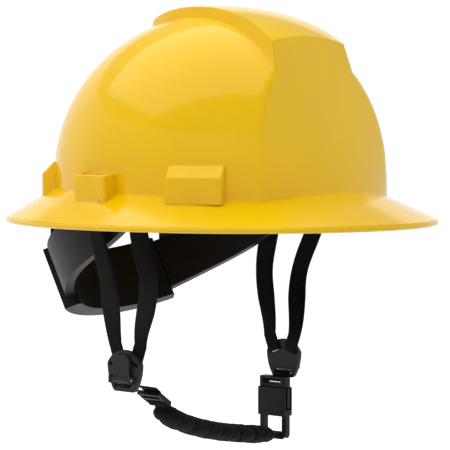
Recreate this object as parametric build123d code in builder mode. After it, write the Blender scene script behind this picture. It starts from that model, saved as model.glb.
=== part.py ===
# Full brim hard hat with a six slot shell, a ratchet headband and a four point chin harness.
# Millimetres. The wearer faces -Y, the wearer's left is +X, up is +Z.
# The origin is the head seat: the middle of the headband's opening, level with the brim's lower edge.
from build123d import *
from math import cos, degrees, pi, radians, sin, sqrt, tan
import os

os.makedirs("parts", exist_ok=True)

# Shell
wall = 2.6
brim_length = 316.0
brim_width = 274.0
lip_height = 3.8
lip_round = 1.7
lip_step = 1.0
lip_width = 4.2
brim_wall = 3.0
brim_lap = 2.0
dome_length = 246.0
dome_width = 208.0
dome_height = 110.0
dome_rise = 12.0
dome_lean = 3.4
root_height = 23.0
root_front = 109.0
root_rear = 123.0
front_face_reach = 110.0
front_face_lean = 16.3
front_face_bow = 130.0
front_face_flatness = 1.3
overrun = 6.0
dome_skirt = 32.0

# Raised centre band of the shell
band_rise = 4.6
band_round = 172.0
band_front_half = 43.0
band_mid_half = 35.0
band_rear_half = 26.0
band_rear_end = 58.0
band_side_flare = 9.0
band_foot_height = 56.0

# Blocks on the shell that hold the suspension lugs, and the accessory slots between them
block_width = 38.0
block_height = 19.0
block_face_height = 11.0
block_depth = 7.6
block_foot = 6.0
block_bury = 16.0
block_round = 1.6
front_block_angle = 62.0
rear_block_angle = 143.0
pocket_width = 24.0
pocket_depth = 7.4
pocket_low = -2.0
pocket_height = 13.0
slot_block_width = 31.0
slot_block_height = 13.5
slot_block_face = 12.0
slot_block_depth = 10.0
slot_block_angle = 97.5
slot_width = 24.0
slot_gap = 5.0
slot_floor = 2.4
slot_face_wall = 2.2

# Headband, worn part in front of the temple pins
suspension_gap = 24.0
band_half_width = dome_width / 2 - suspension_gap
band_front_reach = 52.0
band_height = 28.0
band_wall = 2.4
band_middle_y = -45.0
pin_to_band_end = 8.0
temple_pin_diameter = 6.0
temple_pin_head = 11.0
temple_pin_head_height = 1.6
pin_clearance = 0.08
seat_gap = 0.25
tab_width = 22.0
tab_wall = 2.6
tab_top = 24.0
tab_foot = 4.0
stud_diameter = 6.0

# Brow pad
brow_pad_thickness = 4.6
brow_pad_height = 34.0

# Nape band: an upright horseshoe, its round end behind the head
nape_gap = 0.6
nape_radius = band_half_width + band_wall + nape_gap
nape_centre_y = 44.0
nape_lift = 2.6
nape_tilt = 28.0
pin_ahead = 33.0
pin_below = 3.0
sleeve_wall = 1.8
groove = 3.2
arm_corner = 9.0
housing_half_angle = 38.0
housing_inner_step = 1.6
housing_outer_step = 4.0
housing_top = 12.5
housing_bottom = -34.0
housing_round = 4.0
tail_level = -7.0
cover_thickness = 2.4
cover_diameter = 38.0

# Side outline of the nape arms in the band's own level, from the temples to the back
arm_length_ahead = 45.0
arm_top = 10.0
arm_front_bottom = -16.0
arm_side_bottom = -23.6
arm_back_bottom = -25.5
arm_rear_bottom = -34.0
arm_back_y = 50.0
temple_pin_round = 0.6

# Ratchet
module = 2.0
pinion_teeth = 8
tooth_share = 0.36
tooth_root_share = 1.4
tooth_tip_share = 0.7
tooth_height = 2.6
tooth_play = 0.5
pinion_width = 2.4
tail_wall = 2.2
tail_height = 5.0
tail_travel = 26.0
spare_gaps_rear = 1
spare_gaps_front = 3
tail_reach = 78.0
tail_overlap = 10.0
tooth_lean = 20.0
knob_diameter = 43.0
knob_height = 11.0
knob_ribs = 16
knob_rib_depth = 1.6
knob_flute_radius = 3.2
knob_gap = 0.8
knob_edge = 0.8
knob_wall = 2.4
cover_round = 0.8
cover_collar = 1.4
screw_slot = 1.0
shaft_diameter = 7.0
screw_diameter = 3.0
screw_head = 6.0
screw_head_height = 1.8

# Suspension lugs and crown webbing
key_clearance = 0.3
lug_wall = 3.0
lug_high = 24.0
web_width = 20.0
web_thickness = 1.2
web_rise = 66.0
web_step = 2.4
web_stations = 10
web_gap = 0.1
web_foot = 16.0
stud_height = 15.0
stud_stand = 1.2
lug_leg_drop = 19.0
hang_play = 0.5
hang_top_x = -6.5
hang_foot_x = -1.0
hang_bend_height = 15.0
hang_peg = 5.0
hang_peg_height = -5.4
hang_peg_stand = 1.2
ear_face = 0.0
ear_wall = 2.5
ear_foot = -20.0
ear_head = 4.0
tab_seat_share = 0.46
lug_leg_play = 0.5
brow_pad_sweep = 66.0
band_edge_round = 0.9
hang_strap_width = 20.0
hang_strap_thickness = 1.4
hang_strap_top = 24.0
hang_strap_foot = -10.4

# Harness hangers inside the shell
hanger_wall = 3.0
hanger_gap = 0.8
hanger_low = 20.0
hanger_high = 30.0
hanger_front = -23.0
hanger_rear = 44.0
hanger_stud = 5.0
hanger_stud_front = 8.0
hanger_stud_rear = 24.0
loop_front_y = -13.0
loop_rear_y = 30.0
loop_inset = 0.5
loop_side_wall = 2.2
loop_drop = 15.0
loop_slot_height = 3.4
loop_bar = 3.0
loop_play = 0.15
loop_round = 0.9

# Chin harness, hung in one upright plane across the head
strap_width = 15.0
strap_neck = 10.8
strap_neck_share = 0.7
strap_thickness = 1.4
strap_shares = (0.0, 0.1, 0.22, 0.36, 0.5, 0.64, 0.78, 0.9, 1.0)
front_strap_bow = 6.5
rear_strap_bow = 7.5
front_strap_drift = {-1: -14.0, 1: 12.0}
rear_strap_drift = {-1: -10.0, 1: 12.0}
chin_plane_y = 10.0
glider_x = 86.0
near_glider_z = -96.5
far_glider_z = -103.0
glider_width = 30.0
glider_height = 28.0
glider_thickness = 3.6
glider_shoulder_share = 0.35
glider_waist_share = 0.45
glider_foot_share = 0.3
glider_slot = 2.6
glider_slot_share = 0.24
glider_slot_level_share = 0.42
glider_slot_lean = 20.0
glider_foot_wall = 2.9
glider_round = 0.8
glider_corner = 2.5
lever_width = 15.0
lever_round = 5.0
lever_length = 16.5
lever_thickness = 2.2
lever_pin_diameter = 2.0
lever_pin_wall = 0.9
lever_ear = 1.8
lever_ear_length = 5.0
lever_play = 0.4
lever_lift = 0.4
lever_pivot = -5.5
adjuster_x = -52.0
adjuster_z = -121.0
adjuster_length = 13.0
adjuster_width = 20.0
adjuster_bar = 3.0
adjuster_gap = 3.4
adjuster_rail = 2.2
drop_angle = 34.0
strap_lead = 3.4
strap_bend = 1.6
strap_gap = 0.3
strap_turn = 1.1
strap_run = 1.5
strap_play = 0.6
strap_fold_play = 0.08

# Side release buckle
buckle_x = 75.0
buckle_top = -115.5
buckle_split = -123.0
buckle_bottom = -144.0
buckle_width = 25.0
buckle_thickness = 11.0
buckle_wall = 1.7
buckle_round = 2.0
male_inset = 0.5
male_thickness = 8.0
male_foot = 2.6
guide_width = 5.0
guide_length = 13.0
prong_width = 4.0
prong_thickness = 3.2
prong_length = 15.0
prong_proud = 0.4
prong_round = 0.6
prong_swing_room = 1.7
prong_foot_room = 1.0
loop_length = 16.0

# Chin strap and its pad; the curve is shares of the way across and of the drop
chin_exit_angle = 62.0
chin_sag = 36.3
chin_stations = 36
chin_curve_shares = ((0.05, 0.29), (0.24, 0.57), (0.46, 0.77), (0.72, 0.93), (0.88, 1.0))
chin_pad_start_share = 0.055
chin_pad_end_share = 0.92
chin_pad_gathers = 6
chin_pad_thickness = 13.5
chin_pad_width = 24.0
pad_play = 0.8
gather_share = 0.1

# The dome's widest level lies a little above the brim's root
dome_centre = (0, 0, root_height + dome_rise)


def ellipsoid(half_x, half_y, half_z, skirt):
    """An upright half ellipsoid with a short straight skirt below its equator."""
    with BuildPart() as body:
        with BuildSketch(Plane.XZ):
            with BuildLine():
                foot = Line((0, -skirt), (half_x, -skirt))
                side = Line(foot @ 1, (half_x, 0))
                crown = EllipticalCenterArc((0, 0), half_x, half_z, start_angle=0, arc_size=90)
                Line(crown @ 1, foot @ 0)
            make_face()
        revolve(axis=Axis.Z)
    return scale(body.part, by=(1, half_y / half_x, 1))


def crown_form(inset):
    """The dome with its raised centre band and front face, drawn in by inset all round."""
    half_x = dome_width / 2 - inset
    half_y = dome_length / 2 - inset
    half_z = dome_height - inset
    lean = Location(dome_centre, (-dome_lean, 0, 0))
    dome = ellipsoid(half_x, half_y, half_z, dome_skirt)
    band_cap = ellipsoid(band_round - inset, half_y + band_rise, half_z + band_rise, dome_skirt)
    with BuildPart() as band:
        band_head_height = root_height + dome_rise + dome_height + band_rise + overrun
        for height, flare in ((band_head_height, -band_side_flare / 2), (band_foot_height, band_side_flare)):
            with BuildSketch(Plane.XY.offset(height)):
                with BuildLine():
                    front = -dome_length / 2 - overrun
                    side = Spline(
                        (band_front_half + flare - inset, front),
                        (band_mid_half + flare - inset, -dome_length / 6),
                        (band_rear_half + flare - inset, dome_length / 8),
                        (0, band_rear_end + flare - inset),
                        tangents=[(-overrun / dome_length, 1), (-1, 0)])
                    mirror(side, about=Plane.YZ)
                    Line(side @ 0, (-(band_front_half + flare - inset), front))
                make_face()
        loft(ruled=True)
    with BuildPart() as form:
        add(band.part)
        add(lean * band_cap, mode=Mode.INTERSECT)
        add(lean * dome)
    with BuildPart() as face_clip:
        climb = dome_rise + dome_height + band_rise + 2 * overrun
        for rise in (0, climb):
            with BuildSketch(Plane.XY.offset(root_height - overrun + rise)):
                Ellipse(front_face_bow + rise * front_face_flatness - inset,
                        front_face_reach - rise * tan(radians(front_face_lean)) - inset)
        loft(ruled=True)
        with BuildSketch(Plane.XY.offset(root_height - overrun)):
            Rectangle(brim_width, brim_length, align=(Align.CENTER, Align.MIN))
        extrude(amount=climb)
    return form.part, face_clip.part


def shell_plane(angle, side, height):
    """A plane on the brim's root, x outwards, y up, its normal along the shell; side 1 is the left."""
    half_x, half_y = dome_width / 2, dome_length / 2
    spot = (side * half_x * sin(radians(angle)), -half_y * cos(radians(angle)), height)
    out = Vector(side * sin(radians(angle)) / half_x, -cos(radians(angle)) / half_y, 0).normalized()
    return Plane(origin=spot, x_dir=out, z_dir=out.cross(Vector(0, 0, 1)))


def block(plane, width, height, face_height, depth):
    """A block with a sloped top, standing on the brim against the dome."""
    with BuildPart() as body:
        with BuildSketch(plane):
            Polygon((-block_bury, -block_foot), (depth, -block_foot), (depth, face_height),
                    (0, height), (-block_bury, height), align=None)
        extrude(amount=width / 2, both=True)
        outer = body.edges().filter_by(lambda e: plane.to_local_coords(e.center()).X > 0)
        tall = outer.filter_by(Axis.Z)
        fillet(tall, block_round)
        top = body.edges().filter_by(
            lambda e: abs(plane.to_local_coords(e.center()).X - depth) < block_round / 2
            and abs(plane.to_local_coords(e.center()).Y - face_height) < block_round / 4)
        fillet(top, block_round)
    return body.part


lug_places = [(front_block_angle, 1), (front_block_angle, -1), (rear_block_angle, 1), (rear_block_angle, -1)]
outer_form, outer_clip = crown_form(0)
inner_form, inner_clip = crown_form(wall)
root_middle = (root_rear - root_front) / 2
root_half_y = (root_rear + root_front) / 2
lap_share = brim_lap / (root_height - lip_height)
with BuildPart() as shell:
    add(outer_form)
    add(outer_clip, mode=Mode.INTERSECT)
    with BuildSketch(Plane.XY.offset(lip_height)):
        Ellipse(brim_width / 2 - lip_step, brim_length / 2 - lip_step)
    with BuildSketch(Plane.XY.offset(root_height + brim_lap)):
        with Locations((0, root_middle * (1 + lap_share))):
            Ellipse(dome_width / 2 - (brim_width / 2 - lip_step - dome_width / 2) * lap_share,
                    root_half_y - (brim_length / 2 - lip_step - root_half_y) * lap_share)
    loft(ruled=True)
    with BuildPart(mode=Mode.PRIVATE) as lip:
        with BuildSketch():
            Ellipse(brim_width / 2, brim_length / 2)
        extrude(amount=lip_height)
        fillet(lip.edges(), lip_round)
    add(lip.part)
    for angle, side in lug_places:
        seat = shell_plane(angle, side, root_height)
        add(block(seat, block_width, block_height, block_face_height, block_depth))
    for side in (1, -1):
        add(block(shell_plane(slot_block_angle, side, root_height),
                  slot_block_width, slot_block_height, slot_block_face, slot_block_depth))
    add(inner_form & inner_clip, mode=Mode.SUBTRACT)
    with BuildSketch(Plane.XY.offset(-overrun)):
        Ellipse(brim_width / 2 - lip_width, brim_length / 2 - lip_width)
    with BuildSketch(Plane.XY.offset(lip_height - brim_wall)):
        Ellipse(brim_width / 2 - lip_width, brim_length / 2 - lip_width)
    loft(ruled=True, mode=Mode.SUBTRACT)
    with BuildSketch(Plane.XY.offset(lip_height - brim_wall)):
        Ellipse(brim_width / 2 - lip_width, brim_length / 2 - lip_width)
    with BuildSketch(Plane.XY.offset(root_height - brim_wall + brim_lap)):
        with Locations((0, root_middle * (1 + lap_share))):
            Ellipse(dome_width / 2 - wall - (brim_width / 2 - lip_width - dome_width / 2) * lap_share,
                    root_half_y - wall - (brim_length / 2 - lip_width - root_half_y) * lap_share)
    loft(ruled=True, mode=Mode.SUBTRACT)
    for angle, side in lug_places:
        with BuildSketch(shell_plane(angle, side, root_height)):
            with Locations((pocket_depth - wall, pocket_low)):
                Rectangle(pocket_depth + block_bury, pocket_height, align=(Align.MAX, Align.MIN))
        extrude(amount=pocket_width / 2, both=True, mode=Mode.SUBTRACT)
    for side in (1, -1):
        with BuildSketch(shell_plane(slot_block_angle, side, root_height)):
            with Locations((slot_block_depth - slot_face_wall, slot_floor - block_foot)):
                Rectangle(slot_gap, slot_block_height + block_foot, align=(Align.MAX, Align.MIN))
        extrude(amount=slot_width / 2, both=True, mode=Mode.SUBTRACT)
    with BuildSketch(Plane.YZ.offset(-dome_width / 2)):
        with Locations(*[(y, (hanger_low + hanger_high) / 2) for y in (hanger_stud_front, hanger_stud_rear)]):
            Circle(hanger_stud / 2)
    extrude(amount=dome_width, mode=Mode.SUBTRACT)
shell.part.label = "shell"
export_step(shell.part, "parts/shell.step")

# Worn part of the headband, in a plane that rises from the temples to the brow
nape_place = Location((0, nape_centre_y, nape_lift), (-nape_tilt, 0, 0)) * Location((0, -nape_centre_y, 0))
temple = (nape_place * Location((0, nape_centre_y - pin_ahead, -pin_below))).position
band_plane = Plane(origin=(0, band_middle_y, temple.Z))
band_reach = band_front_reach
band_tail = temple.Y + pin_to_band_end - band_middle_y
tab_face = -suspension_gap * tab_seat_share


def front_arc(half_x, half_y, thickness, tail):
    """A horseshoe of the headband's plan: half an ellipse with two short straight tails."""
    Ellipse(half_x + thickness, half_y + thickness)
    Rectangle(2 * (half_x + thickness), half_y + thickness, align=(Align.CENTER, Align.MIN), mode=Mode.SUBTRACT)
    Rectangle(2 * (half_x + thickness), tail, align=(Align.CENTER, Align.MIN))
    Ellipse(half_x, half_y, mode=Mode.SUBTRACT)
    Rectangle(2 * half_x, tail, align=(Align.CENTER, Align.MIN), mode=Mode.SUBTRACT)


with BuildPart() as headband:
    with BuildSketch(band_plane.offset(-band_height / 2)):
        front_arc(band_half_width, band_reach, band_wall, band_tail)
    extrude(amount=band_height)
    fillet(headband.edges().filter_by(GeomType.ELLIPSE), band_edge_round)
    for side in (1, -1):
        with BuildSketch(shell_plane(front_block_angle, side, temple.Z)):
            with Locations((tab_face, 0)):
                Rectangle(suspension_gap, 2 * band_height, align=(Align.MIN, Align.CENTER))
        extrude(amount=pocket_width / 2 + lug_leg_play, both=True, mode=Mode.SUBTRACT)
        with BuildSketch(shell_plane(front_block_angle, side, 0)):
            with Locations((tab_face, tab_foot)):
                Rectangle(tab_wall, tab_top - tab_foot, align=(Align.MAX, Align.MIN))
        extrude(amount=tab_width / 2, both=True)
    with BuildSketch(band_plane.offset(-band_height)):
        Ellipse(band_half_width, band_reach)
    extrude(amount=2 * band_height, mode=Mode.SUBTRACT)
    for side in (1, -1):
        seat = shell_plane(front_block_angle, side, stud_height)
        with BuildSketch(Plane(origin=seat.origin, x_dir=seat.z_dir, z_dir=seat.x_dir)):
            Circle(stud_diameter / 2 + pin_clearance)
        extrude(amount=2 * tab_face, mode=Mode.SUBTRACT)
    with BuildSketch(Plane.YZ.offset(-brim_width)):
        with Locations((temple.Y, temple.Z)):
            Circle(temple_pin_diameter / 2)
    extrude(amount=2 * brim_width, mode=Mode.SUBTRACT)
headband.part.label = "headband"
export_step(headband.part, "parts/headband.step")

# Brow pad, a crowned cushion that lines the headband
with BuildPart() as brow_pad:
    pad_half_x = band_half_width - seat_gap
    pad_half_y = band_reach - seat_gap
    with BuildLine(band_plane) as pad_path:
        EllipticalCenterArc((0, 0), pad_half_x, pad_half_y, start_angle=-90 - brow_pad_sweep,
                            arc_size=2 * brow_pad_sweep)
    start = pad_path.wires()[0] @ 0
    heading = pad_path.wires()[0] % 0
    with BuildSketch(Plane(origin=start, x_dir=heading.cross(band_plane.z_dir), z_dir=heading)) as pad_section:
        with BuildLine():
            back = Line((0, -brow_pad_height / 2), (0, brow_pad_height / 2))
            ThreePointArc(back @ 1, (-brow_pad_thickness, 0), back @ 0)
        make_face()
    sweep(path=pad_path.wires()[0])
brow_pad.part.label = "brow_pad"
export_step(brow_pad.part, "parts/brow_pad.step")

# Suspension lugs: a key in the shell's pocket, a leg that carries the headband and the crown webbing
key_low = pocket_low + key_clearance
key_high = pocket_low + pocket_height - key_clearance
lug_names = {(front_block_angle, 1): "front_left_lug", (front_block_angle, -1): "front_right_lug",
             (rear_block_angle, 1): "rear_left_lug", (rear_block_angle, -1): "rear_right_lug"}
for (angle, side), name in lug_names.items():
    in_front = angle == front_block_angle
    seat = shell_plane(angle, side, root_height)
    with BuildPart() as lug:
        with BuildSketch(seat):
            Polygon((tab_face, key_low), (pocket_depth - wall - key_clearance, key_low),
                    (pocket_depth - wall - key_clearance, key_high), (tab_face, key_high), align=None)
        extrude(amount=pocket_width / 2 - key_clearance, both=True)
        with BuildSketch(seat):
            with Locations((tab_face, -lug_leg_drop if in_front else key_low)):
                Rectangle(lug_wall, lug_leg_drop + lug_high if in_front else lug_high - key_low,
                          align=(Align.MIN, Align.MIN))
        extrude(amount=tab_width / 2, both=True)
        if in_front:
            with BuildSketch(Plane(origin=seat.origin + Vector(0, 0, stud_height - root_height),
                                   x_dir=seat.z_dir, z_dir=seat.x_dir).offset(tab_face - tab_wall - stud_stand)):
                Circle(stud_diameter / 2)
            extrude(amount=tab_wall + stud_stand)
        else:
            with BuildSketch(seat.offset(-hang_strap_width / 2 - hang_play)):
                with Locations((hang_top_x, key_low)):
                    Rectangle(hang_strap_thickness + 2 * hang_play, key_high - key_low,
                              align=(Align.CENTER, Align.MIN))
            extrude(amount=hang_strap_width + 2 * hang_play, mode=Mode.SUBTRACT)
    lug.part.label = name
    export_step(lug.part, "parts/" + name + ".step")


def ribbon(rows):
    """A flat strap through a row of places: an origin, directions across and along, and a width and thickness."""
    with BuildPart() as strap:
        for origin, across, along, width, thickness in rows:
            with BuildSketch(Plane(origin=origin, x_dir=across, z_dir=along)):
                Rectangle(width, thickness)
        loft(ruled=True)
    return strap.part


# Crown webbing: two straps that cross over the head
web_face = tab_face - web_gap - web_thickness / 2
for name, side, lift in (("crown_web_left_front", 1, 0), ("crown_web_right_front", -1, web_step)):
    front_seat = shell_plane(front_block_angle, side, root_height + lug_high)
    rear_seat = shell_plane(rear_block_angle, -side, root_height + lug_high)
    ends = [seat.origin + seat.x_dir * web_face for seat in (front_seat, rear_seat)]
    middle = (ends[0] + ends[1]) / 2
    half = (ends[0] - ends[1]) / 2
    level = half.cross(Vector(0, 0, 1)).normalized()
    across = [seat.z_dir if seat.z_dir.dot(level) > 0 else -seat.z_dir for seat in (front_seat, rear_seat)]
    up = Vector(0, 0, 1)
    crossing = -middle.X / half.X
    skew = crossing / (2 - 4 * crossing ** 2)
    rows = [(ends[0] - up * web_foot, across[0], up, web_width, web_thickness),
            (ends[0], across[0], up, web_width, web_thickness)]
    for station in range(1, web_stations):
        turn = pi * station / web_stations
        spot = middle + half * cos(turn) + up * (web_rise + lift) * (sin(turn) + skew * sin(2 * turn))
        along = half * -sin(turn) + up * (web_rise + lift) * (cos(turn) + 2 * skew * cos(2 * turn))
        rows.append((spot, level, along, web_width, web_thickness))
    rows += [(ends[1], across[1], -up, web_width, web_thickness),
             (ends[1] - up * web_foot, across[1], -up, web_width, web_thickness)]
    web = ribbon(rows)
    web.label = name
    export_step(web, "parts/" + name + ".step")

# Nape band: two hollow arms and the housing between them, on one upright horseshoe
nape_inner = nape_radius
nape_outer = nape_radius + 2 * sleeve_wall + groove
groove_inner = nape_radius + sleeve_wall
tail_inner = groove_inner + (groove - tail_wall) / 2
nape_axis = (0, nape_centre_y)
pitch = module * pi
pitch_radius = module * pinion_teeth / 2
rack_radius = tail_inner + tail_wall / 2
tooth_degrees = degrees(pitch / rack_radius)
rack_edge = pitch_radius - tooth_height / 2
tail_top = pitch_radius + tooth_height / 2 + tail_height
arm_nose = nape_centre_y - arm_length_ahead
pin_y = nape_centre_y - pin_ahead


def ring(inner, outer):
    """The horseshoe's plan: half a ring behind, two straight legs to the temples."""
    with Locations(nape_axis):
        Circle(outer)
        Rectangle(2 * outer, outer, align=(Align.CENTER, Align.MAX), mode=Mode.SUBTRACT)
        Rectangle(2 * outer, nape_centre_y - arm_nose, align=(Align.CENTER, Align.MAX))
        Circle(inner, mode=Mode.SUBTRACT)
        Rectangle(2 * inner, nape_centre_y - arm_nose, align=(Align.CENTER, Align.MAX), mode=Mode.SUBTRACT)


def wedge(low, high, side):
    """The plan sector behind the nape axis between two angles from straight back."""
    far = brim_length
    spots = [(side * far * sin(radians(a)), nape_centre_y + far * cos(radians(a))) for a in (low, high)]
    Polygon(nape_axis, *spots, align=None)


for side, name in ((1, "left_nape_arm"), (-1, "right_nape_arm")):
    with BuildPart() as arm:
        with BuildSketch(Plane.XY.offset(housing_bottom)) as plan:
            ring(nape_inner, nape_outer)
            with Locations(nape_axis):
                Rectangle(brim_width, brim_length, align=(Align.MAX if side > 0 else Align.MIN, Align.CENTER),
                          mode=Mode.SUBTRACT)
            wedge(-housing_half_angle, housing_half_angle, side)
            with BuildSketch(mode=Mode.SUBTRACT):
                wedge(-housing_half_angle, housing_half_angle, side)
        extrude(amount=arm_top - housing_bottom)
        with BuildSketch(Plane.YZ):
            with BuildLine():
                upper = Line((arm_nose, arm_top), (nape_centre_y + nape_outer, arm_top))
                lower = Spline((nape_centre_y + nape_outer, arm_rear_bottom),
                               (nape_centre_y + arm_back_y, arm_back_bottom), (nape_centre_y, arm_side_bottom),
                               (arm_nose, arm_front_bottom))
                Line(upper @ 1, lower @ 0)
                Line(lower @ 1, upper @ 0)
            make_face()
        extrude(amount=side * brim_width, mode=Mode.INTERSECT)
        nose = arm.edges().filter_by(Axis.X).sort_by(Axis.Y)[:2]
        fillet(nose, arm_corner)
        level = tail_level + side * (rack_edge + tail_top) / 2
        with BuildPart(mode=Mode.PRIVATE) as tail_room:
            with BuildSketch(Plane.XY.offset(level)):
                with Locations(nape_axis):
                    Circle(groove_inner + groove)
                    Circle(groove_inner, mode=Mode.SUBTRACT)
                    Rectangle(2 * nape_outer, nape_outer, align=(Align.CENTER, Align.MAX), mode=Mode.SUBTRACT)
            extrude(amount=(tail_top - rack_edge) / 2 + tooth_play, both=True)
        add(tail_room.part, mode=Mode.SUBTRACT)
        with BuildSketch(Plane.YZ):
            with Locations((pin_y, -pin_below)):
                Circle(temple_pin_diameter / 2)
        extrude(amount=side * brim_width, mode=Mode.SUBTRACT)
    with BuildPart() as hung_arm:
        add(nape_place * arm.part)
        with BuildSketch(shell_plane(rear_block_angle, side, 0)):
            with Locations((ear_face, ear_foot)):
                Rectangle(ear_wall, ear_head - ear_foot, align=(Align.MIN, Align.MIN))
        extrude(amount=hang_strap_width / 2, both=True)
        add(nape_place * tail_room.part, mode=Mode.SUBTRACT)
        seat = shell_plane(rear_block_angle, side, hang_peg_height)
        peg_start = hang_foot_x - hang_strap_thickness / 2 - hang_peg_stand
        with BuildSketch(Plane(origin=seat.origin, x_dir=seat.z_dir, z_dir=seat.x_dir).offset(peg_start)):
            Circle(hang_peg / 2)
        extrude(amount=ear_face + ear_wall / 2 - peg_start)
    hung_arm.part.label = name
    export_step(hung_arm.part, "parts/" + name + ".step")

    with BuildPart() as pin:
        with BuildSketch(Plane.YZ.offset(side * band_half_width)):
            with Locations((temple.Y, temple.Z)):
                Circle(temple_pin_diameter / 2)
        extrude(amount=side * (nape_outer - band_half_width))
        with BuildSketch(Plane.YZ.offset(side * nape_outer)):
            with Locations((temple.Y, temple.Z)):
                Circle(temple_pin_head / 2)
        extrude(amount=side * temple_pin_head_height)
        fillet(pin.faces().sort_by(Axis.X)[-1 if side > 0 else 0].edges(), temple_pin_round)
    pin.part.label = name.replace("nape_arm", "temple_stud")
    export_step(pin.part, "parts/" + pin.part.label + ".step")

housing_inner = nape_inner - housing_inner_step
housing_outer = nape_outer + housing_outer_step
knob_plane = Plane(origin=(0, nape_centre_y, tail_level), x_dir=(-1, 0, 0), z_dir=(0, 1, 0))
flat = sqrt(housing_outer ** 2 - (cover_diameter / 2) ** 2)
with BuildPart() as housing:
    with BuildSketch(Plane.XY.offset(housing_bottom)):
        with Locations(nape_axis):
            Circle(housing_outer)
            Circle(housing_inner, mode=Mode.SUBTRACT)
        with BuildSketch(mode=Mode.INTERSECT):
            wedge(-housing_half_angle, housing_half_angle, 1)
    extrude(amount=housing_top - housing_bottom)
    fillet(housing.edges().filter_by(Axis.Z).sort_by(Axis.Y)[:2], housing_round)
    with BuildSketch(Plane.XY.offset(tail_level)):
        with Locations(nape_axis):
            Circle(groove_inner + groove)
            Circle(groove_inner, mode=Mode.SUBTRACT)
            Rectangle(2 * nape_outer, nape_outer, align=(Align.CENTER, Align.MAX), mode=Mode.SUBTRACT)
    extrude(amount=tail_top + tooth_play, both=True, mode=Mode.SUBTRACT)
    with BuildSketch(knob_plane.offset(groove_inner)):
        Circle(pitch_radius + tooth_height)
    extrude(amount=flat - groove_inner, mode=Mode.SUBTRACT)
    with BuildSketch(knob_plane.offset(flat)):
        Circle(cover_diameter / 2)
    extrude(amount=housing_outer, mode=Mode.SUBTRACT)
placed_housing = nape_place * housing.part
placed_housing.label = "ratchet_housing"
export_step(placed_housing, "parts/ratchet_housing.step")

with BuildPart() as cover:
    with BuildSketch(knob_plane.offset(flat)):
        Circle(cover_diameter / 2)
        Circle(shaft_diameter / 2 + pin_clearance, mode=Mode.SUBTRACT)
    extrude(amount=cover_thickness)
    fillet(cover.faces().sort_by(Axis.Y)[-1].outer_wire().edges(), cover_round)
    with BuildSketch(knob_plane.offset(flat)):
        Circle(pitch_radius + tooth_height)
        Circle(shaft_diameter / 2 + cover_collar, mode=Mode.SUBTRACT)
    extrude(amount=cover_thickness / 2, mode=Mode.SUBTRACT)
placed_cover = nape_place * cover.part
placed_cover.label = "ratchet_cover"
export_step(placed_cover, "parts/ratchet_cover.step")

# The pinion lies in the groove, its shaft comes out through the cover into the knob
pinion_back = rack_radius - pinion_width / 2
knob_face = flat + cover_thickness + knob_gap
with BuildPart() as pinion:
    with BuildSketch(knob_plane.offset(pinion_back)):
        Circle(pitch_radius - tooth_height / 2 - tooth_play / 2)
        tip = pitch_radius + tooth_height / 2 - tooth_play
        half = pitch * tooth_share / 2
        with PolarLocations(0, pinion_teeth):
            root_half, tip_half = half * tooth_root_share, half * tooth_tip_share
            Polygon((0, root_half), (pitch_radius, half), (tip, tip_half), (tip, -tip_half),
                    (pitch_radius, -half), (0, -root_half), align=None)
    extrude(amount=pinion_width)
    with BuildSketch(knob_plane.offset(pinion_back)):
        Circle(shaft_diameter / 2)
    extrude(amount=knob_face + knob_height / 2 - pinion_back)
    with BuildSketch(knob_plane.offset(pinion_back)):
        Circle(screw_diameter / 2)
    extrude(amount=knob_face + knob_height, mode=Mode.SUBTRACT)
placed_pinion = nape_place * pinion.part
placed_pinion.label = "pinion"
export_step(placed_pinion, "parts/pinion.step")

with BuildPart() as knob:
    with BuildSketch(knob_plane.offset(knob_face)):
        Circle(knob_diameter / 2)
        with PolarLocations(knob_diameter / 2 + knob_rib_depth, knob_ribs):
            Circle(knob_flute_radius, mode=Mode.SUBTRACT)
    extrude(amount=knob_height)
    chamfer(knob.faces().sort_by(Axis.Y)[-1].edges(), knob_edge)
    with BuildSketch(knob_plane.offset(knob_face)):
        Circle(shaft_diameter / 2)
    extrude(amount=knob_height / 2, mode=Mode.SUBTRACT)
    with BuildSketch(knob_plane.offset(knob_face)):
        Circle(screw_diameter / 2)
    extrude(amount=knob_height, mode=Mode.SUBTRACT)
    with BuildSketch(knob_plane.offset(knob_face + knob_height - screw_head_height)):
        Circle(screw_head / 2)
    extrude(amount=screw_head_height, mode=Mode.SUBTRACT)
    with BuildSketch(knob_plane.offset(knob_face)):
        Circle(knob_diameter / 2 - knob_wall)
        Circle(shaft_diameter / 2 + knob_wall, mode=Mode.SUBTRACT)
    extrude(amount=knob_height / 2, mode=Mode.SUBTRACT)
placed_knob = nape_place * knob.part
placed_knob.label = "ratchet_knob"
export_step(placed_knob, "parts/ratchet_knob.step")

with BuildPart() as screw:
    with BuildSketch(knob_plane.offset(pinion_back)):
        Circle(screw_diameter / 2)
    extrude(amount=knob_face + knob_height - screw_head_height - pinion_back)
    with BuildSketch(knob_plane.offset(knob_face + knob_height - screw_head_height)):
        Circle(screw_head / 2)
        Rectangle(screw_head, screw_slot, mode=Mode.SUBTRACT)
    extrude(amount=screw_head_height)
    with BuildSketch(knob_plane.offset(knob_face + knob_height - screw_head_height)):
        Circle(screw_head / 2)
    extrude(amount=screw_head_height / 2)
placed_screw = nape_place * screw.part
placed_screw.label = "knob_screw"
export_step(placed_screw, "parts/knob_screw.step")

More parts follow.
